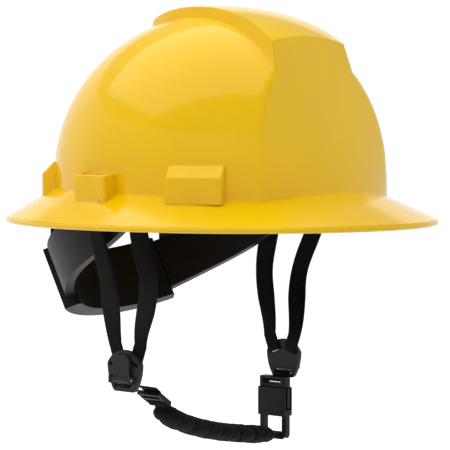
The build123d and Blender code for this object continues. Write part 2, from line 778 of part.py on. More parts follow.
# Toothed tails: the left one runs above the pinion, the right one below
for side, name in ((1, "left_tail"), (-1, "right_tail")):
    with BuildPart() as tail:
        with BuildSketch(Plane.XY.offset(tail_level + side * rack_edge)):
            with Locations(nape_axis):
                Circle(tail_inner + tail_wall)
                Circle(tail_inner, mode=Mode.SUBTRACT)
            with BuildSketch(mode=Mode.INTERSECT):
                wedge(-tail_overlap, (tail_reach - tail_overlap) / 2, side)
                wedge((tail_reach - tail_overlap) / 2, tail_reach, side)
        extrude(amount=side * (tail_top - rack_edge))
        half = (pitch - pitch * tooth_share) / 2
        slope = tooth_height * tan(radians(tooth_lean)) / 2
        for step in range(-spare_gaps_rear, int(tail_travel / tooth_degrees) + spare_gaps_front):
            turn = radians(step * tooth_degrees) * side
            with BuildSketch(Plane(origin=(0, nape_centre_y, tail_level),
                                   x_dir=(cos(turn), -sin(turn), 0), z_dir=(sin(turn), cos(turn), 0))):
                Polygon(*[(x, -side * z) for x, z in (
                    (-half - slope, rack_edge - tooth_play), (half + slope, rack_edge - tooth_play),
                    (half - slope, rack_edge + tooth_height), (slope - half, rack_edge + tooth_height))], align=None)
            extrude(amount=nape_outer, mode=Mode.SUBTRACT)
    placed_tail = nape_place * tail.part
    placed_tail.label = name
    export_step(placed_tail, "parts/" + name + ".step")

# Flat straps that hang the nape arms from the rear lugs
for side, name in ((1, "left_hang_strap"), (-1, "right_hang_strap")):
    seat = shell_plane(rear_block_angle, side, 0)
    with BuildPart() as hang:
        with BuildSketch(seat):
            line = [(hang_top_x, hang_strap_top + root_height), (hang_top_x, hang_bend_height),
                    (hang_foot_x, 0), (hang_foot_x, hang_strap_foot)]
            half = hang_strap_thickness / 2
            Polygon(*[(x + half, y) for x, y in line], *[(x - half, y) for x, y in reversed(line)], align=None)
        extrude(amount=hang_strap_width / 2, both=True)
        with BuildSketch(Plane(origin=seat.origin + Vector(0, 0, hang_peg_height), x_dir=seat.z_dir,
                               z_dir=seat.x_dir)):
            Circle(hang_peg / 2 + pin_clearance)
        extrude(amount=2 * hang_foot_x - hang_strap_thickness, mode=Mode.SUBTRACT)
    hang.part.label = name
    export_step(hang.part, "parts/" + name + ".step")

# Harness hangers: a bar inside each side of the shell with two strap loops
hanger_half_x = dome_width / 2 - wall - hanger_gap
hanger_half_y = dome_length / 2 - wall - hanger_gap


def hanger_plane(side, spot_y):
    """A plane on a hanger's outer face at a place along the shell: x outwards, y up."""
    spot_x = hanger_half_x * sqrt(1 - (spot_y / hanger_half_y) ** 2)
    out = Vector(side * spot_x / hanger_half_x ** 2, spot_y / hanger_half_y ** 2, 0).normalized()
    spot = Vector(side * spot_x, spot_y, 0) - out * loop_inset
    return Plane(origin=spot, x_dir=out, z_dir=out.cross(Vector(0, 0, 1)))


loop_foot = hanger_low - loop_drop
loop_width = strap_width + 2 * strap_play + 2 * loop_side_wall
for side, name in ((1, "left_harness_hanger"), (-1, "right_harness_hanger")):
    with BuildPart() as hanger:
        with BuildSketch(Plane.XY.offset(hanger_low)):
            Ellipse(hanger_half_x, hanger_half_y)
            Ellipse(hanger_half_x - hanger_wall, hanger_half_y - hanger_wall, mode=Mode.SUBTRACT)
            with Locations((0, hanger_front)):
                Rectangle(side * brim_width, hanger_rear - hanger_front, align=(Align.CENTER, Align.MIN),
                          mode=Mode.INTERSECT)
            Rectangle(brim_width, brim_length, align=(Align.MAX if side > 0 else Align.MIN, Align.CENTER),
                      mode=Mode.SUBTRACT)
        extrude(amount=hanger_high - hanger_low)
        for y in (loop_front_y, loop_rear_y):
            seat = hanger_plane(side, y)
            with BuildSketch(seat):
                with Locations((0, loop_foot)):
                    Rectangle(hanger_wall, hanger_high - loop_foot, align=(Align.MAX, Align.MIN))
            extrude(amount=loop_width / 2, both=True)
            with BuildSketch(seat):
                with Locations((0, loop_foot + loop_bar)):
                    Rectangle(2 * hanger_wall, loop_slot_height, align=(Align.CENTER, Align.MIN))
            extrude(amount=strap_width / 2 + strap_play, both=True, mode=Mode.SUBTRACT)
        with BuildSketch(Plane.YZ.offset(side * (dome_width / 2 - seat_gap))):
            with Locations(*[(y, (hanger_low + hanger_high) / 2) for y in (hanger_stud_front, hanger_stud_rear)]):
                Circle(hanger_stud / 2 - pin_clearance)
        extrude(amount=-side * (dome_width / 2 - hanger_half_x + hanger_wall))
    hanger.part.label = name
    export_step(hanger.part, "parts/" + name + ".step")

# The chin harness hangs in this plane: x to the wearer's left, y up
chin_plane = Plane(origin=(0, chin_plane_y, 0), x_dir=(1, 0, 0), z_dir=(0, -1, 0))
slot_length = strap_neck + 2 * strap_play
drop_slot_length = strap_width + 2 * strap_play
pin_boss = lever_pin_diameter / 2 + pin_clearance + lever_pin_wall
pin_level = glider_thickness / 2 + lever_lift + pin_boss
ear_height = pin_level + pin_boss - glider_thickness / 2
foot_slot = -glider_height / 2 + glider_foot_wall + glider_slot / 2


def glider_plane(side):
    """The middle of a glider's plate: x along the head's side, y up, the normal outwards."""
    spot = (side * glider_x, chin_plane_y, near_glider_z if side < 0 else far_glider_z)
    return Plane(origin=spot, x_dir=(0, side, 0), z_dir=(side, 0, 0))


for side, word in ((-1, "right"), (1, "left")):
    face = glider_plane(side)
    half_y = glider_height / 2
    pin_plane = Plane(origin=face.origin, x_dir=face.y_dir, z_dir=face.x_dir)
    with BuildPart() as glider:
        with BuildSketch(face.offset(-glider_thickness / 2)):
            with BuildLine():
                shoulder = half_y * glider_shoulder_share
                waist = glider_width * glider_waist_share
                foot = glider_width * glider_foot_share
                top = ThreePointArc((-glider_width / 2, shoulder), (0, half_y), (glider_width / 2, shoulder))
                right = ThreePointArc(top @ 1, (waist, -shoulder), (foot, -half_y))
                low = Line(right @ 1, (-foot, -half_y))
                ThreePointArc(low @ 1, (-waist, -shoulder), top @ 0)
            make_face()
            fillet(vertices(), glider_corner)
        extrude(amount=glider_thickness)
        fillet(glider.faces().sort_by(Axis.X)[-1 if side > 0 else 0].edges(), glider_round)
        for lean in (1, -1):
            with BuildSketch(face.offset(glider_thickness / 2)):
                with Locations((lean * (lever_width / 2 + lever_play + lever_ear / 2), lever_pivot)):
                    Rectangle(lever_ear, lever_ear_length)
            extrude(amount=ear_height)
        with BuildSketch(face.offset(-glider_thickness)):
            for lean in (1, -1):
                with Locations(Location((lean * glider_width * glider_slot_share, half_y * glider_slot_level_share),
                                        -lean * glider_slot_lean)):
                    Rectangle(slot_length, glider_slot)
            with Locations((0, foot_slot)):
                Rectangle(drop_slot_length, glider_slot)
        extrude(amount=3 * glider_thickness / 2, mode=Mode.SUBTRACT)
        with BuildSketch(pin_plane.offset(-glider_width / 2)):
            with Locations((lever_pivot, pin_level)):
                Circle(lever_pin_diameter / 2)
        extrude(amount=glider_width, mode=Mode.SUBTRACT)
    name = word + "_glider"
    glider.part.label = name
    export_step(glider.part, "parts/" + name + ".step")

    # Cam lever that locks the straps, hinged on its pin
    with BuildPart() as lever:
        with BuildSketch(face.offset(glider_thickness / 2 + lever_lift)):
            with Locations((0, lever_pivot)):
                Rectangle(lever_width, lever_length, align=(Align.CENTER, Align.MIN))
            fillet(vertices().sort_by(Axis.Y)[-2:], lever_round)
        extrude(amount=lever_thickness)
        with BuildSketch(pin_plane.offset(-lever_width / 2)):
            with Locations((lever_pivot, pin_level)):
                Circle(pin_boss)
        extrude(amount=lever_width)
        with BuildSketch(pin_plane.offset(-lever_width / 2)):
            with Locations((lever_pivot, pin_level)):
                Circle(lever_pin_diameter / 2 + pin_clearance)
        extrude(amount=lever_width, mode=Mode.SUBTRACT)
    name = word + "_glider_lever"
    lever.part.label = name
    export_step(lever.part, "parts/" + name + ".step")
    with BuildPart() as lever_pin:
        with BuildSketch(pin_plane.offset(-lever_width / 2 - lever_play - lever_ear)):
            with Locations((lever_pivot, pin_level)):
                Circle(lever_pin_diameter / 2)
        extrude(amount=lever_width + 2 * lever_play + 2 * lever_ear)
    name = word + "_lever_pin"
    lever_pin.part.label = name
    export_step(lever_pin.part, "parts/" + name + ".step")

# Harness straps: a loop round the hanger's bar, a bowed run, and a turn out through the glider's slot
lean_angle = radians(glider_slot_lean)
for side, word in ((-1, "right"), (1, "left")):
    face = glider_plane(side)
    up = Vector(0, 0, 1)
    out = Vector(side, 0, 0)
    for y_top, lean, bow, drift, where in (
            (loop_front_y, 1, front_strap_bow, front_strap_drift[side], "front"),
            (loop_rear_y, -1, rear_strap_bow, rear_strap_drift[side], "rear")):
        seat = hanger_plane(side, y_top)
        across_top = -seat.z_dir * side
        across_end = Vector(0, 1, 0) * side * cos(lean_angle) + up * sin(lean_angle) * lean * side
        down = Vector(0, 1, 0) * sin(lean_angle) * lean - up * cos(lean_angle)
        slot = (face.origin - Vector(0, 1, 0) * lean * glider_width * glider_slot_share
                + up * glider_height / 2 * glider_slot_level_share)
        inboard = glider_thickness / 2 + strap_gap + strap_thickness / 2
        turn_middle = slot - down * strap_turn - out * (inboard - strap_turn)
        loop_low = loop_foot - loop_play - strap_thickness / 2
        start = seat.from_local_coords((-hanger_wall / 2, loop_low, 0))
        end = (turn_middle - out * strap_turn
               - down * (strap_run + glider_height / 2 * (1 - glider_slot_level_share)))
        if across_top.dot(across_end) < 0:
            across_top = -across_top
        spots = [start + (end - start) * share + Vector(side * bow, drift, 0) * sin(pi * share) ** 2
                 for share in strap_shares]
        rows = []
        for index, (share, spot) in enumerate(zip(strap_shares, spots)):
            if share == 0:
                along = -up
            elif share == 1:
                along = down
            else:
                along = (spots[index + 1] - spots[index - 1]).normalized()
            across = across_top * (1 - share) + across_end * share
            across = (across - along * across.dot(along)).normalized()
            narrowing = max(0, (share - strap_neck_share) / (1 - strap_neck_share))
            rows.append((spot, across, along, strap_width - (strap_width - strap_neck) * narrowing, strap_thickness))
        for turn in (0, pi / 4, pi / 2):
            spot = turn_middle + (down * sin(turn) - out * cos(turn)) * strap_turn
            along = down * cos(turn) + out * sin(turn)
            rows.append((spot, across_end, along, strap_neck, strap_thickness))
        rows.append((slot + out * (glider_thickness / 2 - strap_gap), across_end, out, strap_neck, strap_thickness))
        with BuildPart() as strap:
            with BuildSketch(seat):
                with Locations((-hanger_wall / 2, loop_foot + loop_bar / 2)):
                    RectangleRounded(hanger_wall + 2 * loop_play + 2 * strap_thickness,
                                     loop_bar + 2 * loop_play + 2 * strap_thickness, loop_round + strap_thickness)
                    Rectangle(hanger_wall + 2 * loop_play, loop_bar + 2 * loop_play, mode=Mode.SUBTRACT)
            extrude(amount=strap_width / 2, both=True)
            add(ribbon(rows))
        name = word + "_" + where + "_strap"
        strap.part.label = name
        export_step(strap.part, "parts/" + name + ".step")

# The right drop strap and its adjuster, whose lower bar the chin strap turns on
drop = Vector(cos(radians(drop_angle)), -sin(radians(drop_angle)), 0)
drop_up = Vector(sin(radians(drop_angle)), cos(radians(drop_angle)), 0)


def adjuster_spot(along, above):
    """Chin plane coordinates of a point of the adjuster, measured from its lower bar."""
    return Vector(adjuster_x, adjuster_z, 0) + drop * along + drop_up * above


def flat_strap(points):
    """A strap that bends in the chin plane, with rounded turns."""
    with BuildPart() as strap:
        with BuildSketch(chin_plane):
            with BuildLine():
                FilletPolyline(*points, radius=strap_bend)
            trace(line_width=strap_thickness)
        extrude(amount=strap_width / 2, both=True)
    return strap.part


upper_gap = -adjuster_length + adjuster_rail + adjuster_gap / 2
slot_level = near_glider_z + foot_slot
right_drop = flat_strap(
    [(-glider_x - glider_thickness / 2, slot_level), (-glider_x + strap_lead, slot_level),
     adjuster_spot(-adjuster_length - adjuster_rail, adjuster_bar / 2 + strap_thickness),
     adjuster_spot(upper_gap, adjuster_bar / 2 + strap_thickness), adjuster_spot(upper_gap, 0)])
right_drop.label = "right_drop_strap"
export_step(right_drop, "parts/right_drop_strap.step")

with BuildPart() as adjuster:
    with BuildSketch(chin_plane):
        Polygon(*[adjuster_spot(a, b) for a, b in (
            (0, adjuster_bar / 2), (0, -adjuster_bar / 2), (-adjuster_length, -adjuster_bar / 2),
            (-adjuster_length, adjuster_bar / 2))], align=None)
        with Locations((adjuster_x, adjuster_z)):
            Circle(adjuster_bar / 2)
    extrude(amount=adjuster_width / 2, both=True)
    with BuildSketch(chin_plane):
        for low, high in ((-adjuster_bar / 2 - adjuster_gap, adjuster_bar),
                          (upper_gap - adjuster_gap / 2, upper_gap + adjuster_gap / 2)):
            Polygon(*[adjuster_spot(a, b) for a, b in (
                (low, adjuster_bar), (low, -adjuster_bar), (high, -adjuster_bar), (high, adjuster_bar))],
                align=None)
        with Locations((adjuster_x, adjuster_z)):
            Circle(adjuster_bar / 2, mode=Mode.SUBTRACT)
    extrude(amount=strap_width / 2 + strap_play, both=True, mode=Mode.SUBTRACT)
adjuster.part.label = "strap_adjuster"
export_step(adjuster.part, "parts/strap_adjuster.step")

# The left drop strap carries the buckle's upper half
male_slot = buckle_split + male_foot + adjuster_gap / 2
slot_level = far_glider_z + foot_slot
left_drop = flat_strap(
    [(glider_x + glider_thickness / 2, slot_level), (glider_x - strap_lead, slot_level),
     (glider_x - strap_lead, male_slot), (buckle_x, male_slot)])
left_drop.label = "left_drop_strap"
export_step(left_drop, "parts/left_drop_strap.step")


def buckle_plane(level):
    """A level plane through the buckle: x forwards, y outwards."""
    return Plane(origin=(buckle_x, chin_plane_y, level), x_dir=(0, -1, 0), z_dir=(0, 0, 1))


with BuildPart() as male:
    with BuildSketch(buckle_plane(buckle_split)):
        RectangleRounded(buckle_width - 2 * male_inset, male_thickness, buckle_round)
    extrude(amount=buckle_top - buckle_split)
    with BuildSketch(chin_plane):
        with Locations((buckle_x, male_slot)):
            Rectangle(buckle_thickness, adjuster_gap)
    extrude(amount=strap_width / 2 + strap_play, both=True, mode=Mode.SUBTRACT)
    with BuildSketch(buckle_plane(buckle_split - guide_length)):
        Rectangle(guide_width, prong_thickness)
    extrude(amount=guide_length)
male.part.label = "buckle_male"
export_step(male.part, "parts/buckle_male.step")

for side, name in ((1, "front_buckle_prong"), (-1, "rear_buckle_prong")):
    with BuildPart() as prong:
        with BuildSketch(buckle_plane(buckle_split - seat_gap)):
            with Locations((side * (buckle_width / 2 + prong_proud - prong_width / 2), 0)):
                Rectangle(prong_width, prong_thickness)
        extrude(amount=-prong_length)
        fillet(prong.edges().filter_by(Axis.Z), prong_round)
    prong.part.label = name
    export_step(prong.part, "parts/" + name + ".step")

bar_level = buckle_bottom - loop_length + adjuster_bar / 2
with BuildPart() as female:
    with BuildSketch(buckle_plane(buckle_split - seat_gap)):
        RectangleRounded(buckle_width, buckle_thickness, buckle_round)
    extrude(amount=-(buckle_split - seat_gap - buckle_bottom))
    fillet(female.faces().sort_by(Axis.Z)[0].edges(), buckle_round / 2)
    with BuildSketch(buckle_plane(buckle_split)):
        Rectangle(buckle_width - 2 * buckle_wall, buckle_thickness - 2 * buckle_wall)
        Rectangle(2 * buckle_width, prong_thickness + 2 * prong_swing_room)
    extrude(amount=-(prong_length + 2 * seat_gap + prong_foot_room), mode=Mode.SUBTRACT)
    with BuildSketch(buckle_plane(buckle_bottom)):
        Rectangle(buckle_width - 2 * male_inset, adjuster_bar + buckle_wall)
    extrude(amount=-(loop_length - adjuster_bar / 2))
    with BuildSketch(chin_plane):
        with Locations((buckle_x, bar_level)):
            Circle(adjuster_bar / 2)
    extrude(amount=buckle_width / 2 - male_inset, both=True)
    with BuildSketch(chin_plane):
        with Locations((buckle_x, bar_level)):
            Rectangle(buckle_thickness, 2 * loop_length - adjuster_bar)
            Circle(adjuster_bar / 2, mode=Mode.SUBTRACT)
    extrude(amount=strap_width / 2 + strap_play, both=True, mode=Mode.SUBTRACT)
female.part.label = "buckle_female"
export_step(female.part, "parts/buckle_female.step")

# Chin strap: it turns on the adjuster's lower bar and passes round the buckle's lower bar
fold = adjuster_bar / 2 + strap_fold_play + strap_thickness / 2
chin_exit = radians(chin_exit_angle)
chin_start = Vector(adjuster_x + fold * sin(chin_exit), adjuster_z + fold * cos(chin_exit), 0)
chin_end = Vector(buckle_x, bar_level + fold, 0)
with BuildLine() as chin_route:
    Spline(chin_start,
           *[chin_start + Vector((chin_end - chin_start).X * across, -chin_sag * down, 0)
             for across, down in chin_curve_shares],
           chin_end, tangents=[(cos(chin_exit), -sin(chin_exit)), (1, 0)])
chin_line = chin_route.wires()[0]
chin_rows = []
for step in range(chin_stations + 1):
    spot = chin_line.position_at(step / chin_stations)
    along = chin_line.tangent_at(step / chin_stations)
    chin_rows.append((chin_plane.from_local_coords(spot), chin_plane.z_dir,
                      chin_plane.x_dir * along.X + chin_plane.y_dir * along.Y, strap_width, strap_thickness))
with BuildPart() as chin_strap:
    with BuildSketch(chin_plane):
        with Locations((adjuster_x, adjuster_z), (buckle_x, bar_level)):
            Circle(fold + strap_thickness / 2)
        with Locations((adjuster_x, adjuster_z), (buckle_x, bar_level)):
            Circle(fold - strap_thickness / 2, mode=Mode.SUBTRACT)
    extrude(amount=strap_width / 2, both=True)
    add(ribbon(chin_rows))
chin_strap.part.label = "chin_strap"
export_step(chin_strap.part, "parts/chin_strap.step")

# Chin pad: a gathered sleeve round the chin strap, drawn in at each gather
steps = 2 * chin_pad_gathers
pad_rows = []
for step in range(steps + 1):
    share = chin_pad_start_share + (chin_pad_end_share - chin_pad_start_share) * step / steps
    spot = chin_line.position_at(share)
    along = chin_line.tangent_at(share)
    full = 1 if step % 2 else 1 - gather_share
    if step in (0, steps):
        full = 1 - 2 * gather_share
    heading = chin_plane.x_dir * along.X + chin_plane.y_dir * along.Y
    pad_rows.append((chin_plane.from_local_coords(spot), heading, full))
with BuildPart() as chin_pad:
    for here, heading, full in pad_rows:
        with BuildSketch(Plane(origin=here, x_dir=chin_plane.z_dir, z_dir=heading)):
            Ellipse(chin_pad_width / 2 * full, chin_pad_thickness / 2 * full)
    loft(ruled=True)
    channel = [(here, chin_plane.z_dir, heading, strap_width + 2 * pad_play, strap_thickness + 2 * pad_play)
               for here, heading, full in pad_rows]
    first, last = channel[0], channel[-1]
    channel.insert(0, (first[0] - first[2] * pad_play, *first[1:]))
    channel.append((last[0] + last[2] * pad_play, *last[1:]))
    add(ribbon(channel), mode=Mode.SUBTRACT)
chin_pad.part.label = "chin_pad"
export_step(chin_pad.part, "parts/chin_pad.step")
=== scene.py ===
"""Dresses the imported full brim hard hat: its finishes, webbing, pads, lights and camera."""
import bpy
import bmesh
from math import atan2, cos, exp, pi, radians, sin, sqrt
from bpy.props import FloatProperty, FloatVectorProperty, IntProperty, PointerProperty
from bpy.types import Operator, Panel, PropertyGroup
from mathutils import Matrix, Vector, noise
from mathutils.geometry import interpolate_bezier


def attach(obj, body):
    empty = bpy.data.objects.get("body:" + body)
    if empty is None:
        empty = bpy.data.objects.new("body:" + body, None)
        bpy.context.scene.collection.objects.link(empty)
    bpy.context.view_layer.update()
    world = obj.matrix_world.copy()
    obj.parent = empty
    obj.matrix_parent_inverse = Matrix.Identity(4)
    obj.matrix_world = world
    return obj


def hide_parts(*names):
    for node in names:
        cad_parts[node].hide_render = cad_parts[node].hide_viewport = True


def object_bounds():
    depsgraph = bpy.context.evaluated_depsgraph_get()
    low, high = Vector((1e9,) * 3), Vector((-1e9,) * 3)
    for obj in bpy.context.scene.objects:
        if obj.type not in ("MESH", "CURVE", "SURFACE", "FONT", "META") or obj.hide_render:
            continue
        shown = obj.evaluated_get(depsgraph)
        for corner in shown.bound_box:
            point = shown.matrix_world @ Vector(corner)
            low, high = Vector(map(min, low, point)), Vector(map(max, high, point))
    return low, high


bl_info = {
    "name": "Full Brim Hard Hat",
    "version": (1, 0, 0),
    "blender": (4, 5, 0),
    "location": "View3D > Sidebar > Hard Hat",
    "description": "Finishes, webbing and pads for a full brim hard hat with a chin harness",
    "category": "Object",
}

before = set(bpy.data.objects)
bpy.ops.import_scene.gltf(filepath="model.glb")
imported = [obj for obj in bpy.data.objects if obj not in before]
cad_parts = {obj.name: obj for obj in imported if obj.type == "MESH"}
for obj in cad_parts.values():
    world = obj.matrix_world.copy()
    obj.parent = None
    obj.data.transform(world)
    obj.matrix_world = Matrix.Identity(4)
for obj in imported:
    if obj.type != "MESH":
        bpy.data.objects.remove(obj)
CAD_BOX = [list(corner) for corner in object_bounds()]
UP = Vector((0, 0, 1))
MM = 0.001

# The shell's own sizes, which the webs, straps and pads hang on, in millimetres
DOME_HALF = (104.0, 123.0, 110.0)
DOME_RISE, DOME_SKIRT, DOME_LEAN = 12.0, 32.0, 3.4
BAND_ROUND, BAND_RISE = 172.0, 4.6
SHELL_WALL = 2.6
ROOT_HEIGHT = 23.0
FRONT_ANGLE, REAR_ANGLE = 62.0, 143.0

# Places of the suspension and the chin harness, in millimetres
WEB_FACE, WEB_WIDTH, WEB_THICKNESS, WEB_SEAT = -11.74, 20.0, 1.15, 24.0
HANG_LINE = ((-6.5, 47.0), (-6.5, 30.0), (-6.5, 15.0), (-1.0, 0.0), (-1.0, -10.4))
HANG_WIDTH, HANG_THICKNESS = 20.0, 1.35
HANGER_HALF = (100.6, 119.6)
HANGER_BAR, BAR_PLAY, BAR_ROUND, BAR_LEVEL = 3.0, 0.15, 0.9, 6.5
GLIDER_X, GLIDER_LEVELS = 86.0, {"Right": -96.5, "Left": -103.0}
GLIDER_PLATE, SLOT_PLACE, SLOT_PLAY = 3.6, (7.2, 5.88), 0.3
STRAP_LEAN, STRAP_NECK, STRAP_TURN, NECK_SHARE = radians(20), 10.8, 1.1, 0.7
FRONT_LOOP_Y, REAR_LOOP_Y = -13.0, 30.0
FRONT_BOW, REAR_BOW = 6.5, 7.5
CHIN_Y = 10.0
ADJUSTER_SPOT, ADJUSTER_LEAN = (-52.0, -121.0), radians(34)
BUCKLE_BAR, CHIN_BAR = (75.0, -158.5), 1.58
STRAP_ROUND = 0.045

# The studio, in metres: level directions away from the hat to the camera and across the view
AWAY, BESIDE = Vector((-0.766, -0.643, 0)), Vector((0.643, -0.766, 0))
CAMERA_REACH, CAMERA_HEIGHT, CAMERA_LENS = 1.44, 0.074, 166.0
BACKDROP_RADIUS, BACKDROP_HEIGHT = 6.0, 3.2
FLOOR_GLOW, BACKDROP_GLOW = 0.66, 0.7


# Settings

class HatSizes(PropertyGroup):
    """Sizes of what the finishes and the soft parts show."""
    strap_thickness: FloatProperty(name="Strap thickness", description="Thickness of the chin harness webbing",
                                   default=1.4 * MM, min=0.8 * MM, max=3 * MM, unit="LENGTH")
    strap_width: FloatProperty(name="Strap width", description="Width of the chin harness webbing",
                               default=15 * MM, min=10 * MM, max=20 * MM, unit="LENGTH")
    rib_pitch: FloatProperty(name="Rib pitch", description="Width of one rib of the webbing",
                             default=1.15 * MM, min=0.5 * MM, max=3 * MM, unit="LENGTH")
    pad_folds: IntProperty(name="Pad folds", description="Gathers along the chin pad", default=7, min=2, max=14)
    fold_depth: FloatProperty(name="Fold depth", description="Depth of the chin pad's folds",
                              default=1.0 * MM, min=0, max=2 * MM, unit="LENGTH")
    edge_round: FloatProperty(name="Shell edge", description="Radius that softens the shell's edges",
                              default=1.6 * MM, min=0, max=3 * MM, unit="LENGTH")
    grain: FloatProperty(name="Mould grain", description="Height of the grain on moulded plastic",
                         default=0.05 * MM, min=0, max=0.3 * MM, unit="LENGTH")


class HatColours(PropertyGroup):
    """Colours of the hat's plastics, webbing, fabric and metal."""
    shell: FloatVectorProperty(name="Shell", description="Glossy shell", subtype="COLOR",
                               default=(0.95, 0.585, 0.0005), min=0, max=1)
    dark: FloatVectorProperty(name="Suspension", description="Moulded suspension plastic", subtype="COLOR",
                              default=(0.006, 0.0055, 0.0055), min=0, max=1)
    grey: FloatVectorProperty(name="Adjusters", description="Grey moulded adjusters", subtype="COLOR",
                              default=(0.02, 0.021, 0.023), min=0, max=1)
    webbing: FloatVectorProperty(name="Webbing", description="Chin harness and crown webbing", subtype="COLOR",
                                 default=(0.003, 0.003, 0.0034), min=0, max=1)
    hang_webbing: FloatVectorProperty(name="Hang straps", description="Straps of the nape arms", subtype="COLOR",
                                      default=(0.03, 0.03, 0.033), min=0, max=1)
    pad: FloatVectorProperty(name="Pads", description="Fabric of the pads", subtype="COLOR",
                             default=(0.007, 0.007, 0.008), min=0, max=1)
    metal: FloatVectorProperty(name="Metal", description="Screw and lever pins", subtype="COLOR",
                               default=(0.55, 0.55, 0.56), min=0, max=1)
    floor: FloatVectorProperty(name="Floor", description="Floor and backdrop", subtype="COLOR",
                               default=(0.84, 0.84, 0.85), min=0, max=1)


class StudioSettings(PropertyGroup):
    """Levels of the studio lamps."""
    key: FloatProperty(name="Key lamp", description="Power of the lamp above", default=28.5, min=0, max=400,
                       unit="POWER")
    fill: FloatProperty(name="Fill lamp", description="Power of the lamp beside the camera", default=3.6, min=0,
                        max=400, unit="POWER")
    floor_drop: FloatProperty(name="Floor drop", description="Room under the hat for the opened chin strap",
                              default=125 * MM, min=0, max=400 * MM, unit="LENGTH")
    sky: FloatProperty(name="Room light", description="Level of the room's own light", default=0.45, min=0, max=2)


# Shader maths

class Value:
    """A number on a shader link. Python arithmetic on it adds the Math nodes."""

    def __init__(self, paint, socket):
        self.paint, self.socket = paint, socket

    def math(self, operation, first, second=None):
        inputs = {0: first} if second is None else {0: first, 1: second}
        return self.paint.value("ShaderNodeMath", {"operation": operation}, inputs)

    def __add__(self, other):
        return self.math("ADD", self, other)

    __radd__ = __add__

    def __sub__(self, other):
        return self.math("SUBTRACT", self, other)

    def __rsub__(self, other):
        return self.math("SUBTRACT", other, self)

    def __mul__(self, other):
        return self.math("MULTIPLY", self, other)

    __rmul__ = __mul__

    def __truediv__(self, other):
        return self.math("DIVIDE", self, other)

    def __gt__(self, other):
        return self.math("GREATER_THAN", self, other)

    def __lt__(self, other):
        return self.math("LESS_THAN", self, other)

    def __abs__(self):
        return self.math("ABSOLUTE", self)

    def sine(self):
        return self.math("SINE", self)

    def whole(self):
        return self.math("FLOOR", self)

    def high(self, other):
        return self.math("MAXIMUM", self, other)

    def low(self, other):
        return self.math("MINIMUM", self, other)

    def ramp(self, start, end, low=0.0, high=1.0):
        """A clamped map of start..end onto low..high."""
        return self.paint.value("ShaderNodeMapRange", {"clamp": True},
                                {"Value": self, "From Min": start, "From Max": end, "To Min": low, "To Max": high})


class Paint:
    """One procedural material and its nodes."""

    def __init__(self, name, **constants):
        self.material = bpy.data.materials.new(name)
        self.material.use_nodes = True
        self.tree = self.material.node_tree
        self.tree.nodes.clear()
        self.shader = self.node("ShaderNodeBsdfPrincipled", {}, constants)
        out = self.node("ShaderNodeOutputMaterial")
        self.tree.links.new(self.shader.outputs[0], out.inputs[0])
        self.spot = self.node("ShaderNodeTexCoord").outputs["Object"]

    def node(self, kind, settings=None, inputs=None):
        """One node: its settings first, then the values or links of its sockets."""
        made = self.tree.nodes.new(kind)
        for key, setting in (settings or {}).items():
            if key == "stops":
                for spare in list(made.color_ramp.elements)[1:]:
                    made.color_ramp.elements.remove(spare)
                for place, shade in setting:
                    stop = made.color_ramp.elements.new(place)
                    stop.color = shade
                made.color_ramp.elements.remove(made.color_ramp.elements[0])
            else:
                setattr(made, key, setting)
        for key, given in (inputs or {}).items():
            target = made.inputs[key]
            if isinstance(given, Value):
                self.tree.links.new(given.socket, target)
            elif isinstance(given, bpy.types.NodeSocket):
                self.tree.links.new(given, target)
            else:
                target.default_value = given
        return made

    def value(self, kind, settings=None, inputs=None, output=0):
        return Value(self, self.node(kind, settings, inputs).outputs[output])

    def noise(self, scale, detail=3.0, rough=0.5, spot=None):
        return self.value("ShaderNodeTexNoise", {"noise_dimensions": "3D"},
                          {"Vector": spot or self.spot, "Scale": scale, "Detail": detail, "Roughness": rough})

    def cells(self, scale, spot=None, feature="F1"):
        return self.value("ShaderNodeTexVoronoi", {"feature": feature}, {"Vector": spot or self.spot, "Scale": scale})

    def stretched(self, scale, turn=(0, 0, 0)):
        """Object coordinates, turned and stretched, for marks that run one way."""
        return self.node("ShaderNodeMapping", {}, {"Vector": self.spot, "Scale": scale, "Rotation": turn}).outputs[0]

    def mix(self, factor, first, second):
        return self.node("ShaderNodeMix", {"data_type": "RGBA"}, {0: factor, 6: first, 7: second}).outputs[2]

    def softened(self, radius):
        """The surface's normal with its edges rounded."""
        return self.node("ShaderNodeBevel", {"samples": 4}, {"Radius": radius}).outputs[0]

    def edges(self, softened, strength=6.0):
        """1 along edges that stand proud or turn in, 0 on the flats."""
        flat = self.node("ShaderNodeNewGeometry").outputs["Normal"]
        dot = self.value("ShaderNodeVectorMath", {"operation": "DOT_PRODUCT"}, {0: softened, 1: flat}, "Value")
        return ((1.0 - dot) * strength).low(1.0)

    def bump(self, height, distance, normal=None, strength=1.0):
        inputs = {"Height": height, "Distance": distance, "Strength": strength}
        if normal is not None:
            inputs["Normal"] = normal
        return self.node("ShaderNodeBump", {}, inputs).outputs[0]

    def finish(self, colour, rough, normal):
        for name, link in (("Base Color", colour), ("Roughness", rough), ("Normal", normal)):
            self.tree.links.new(link.socket if isinstance(link, Value) else link, self.shader.inputs[name])
        return self.material


def shade(colour, share):
    """A colour darkened or lightened by a share, with full alpha."""
    return (*(min(1.0, c * share) for c in colour), 1.0)


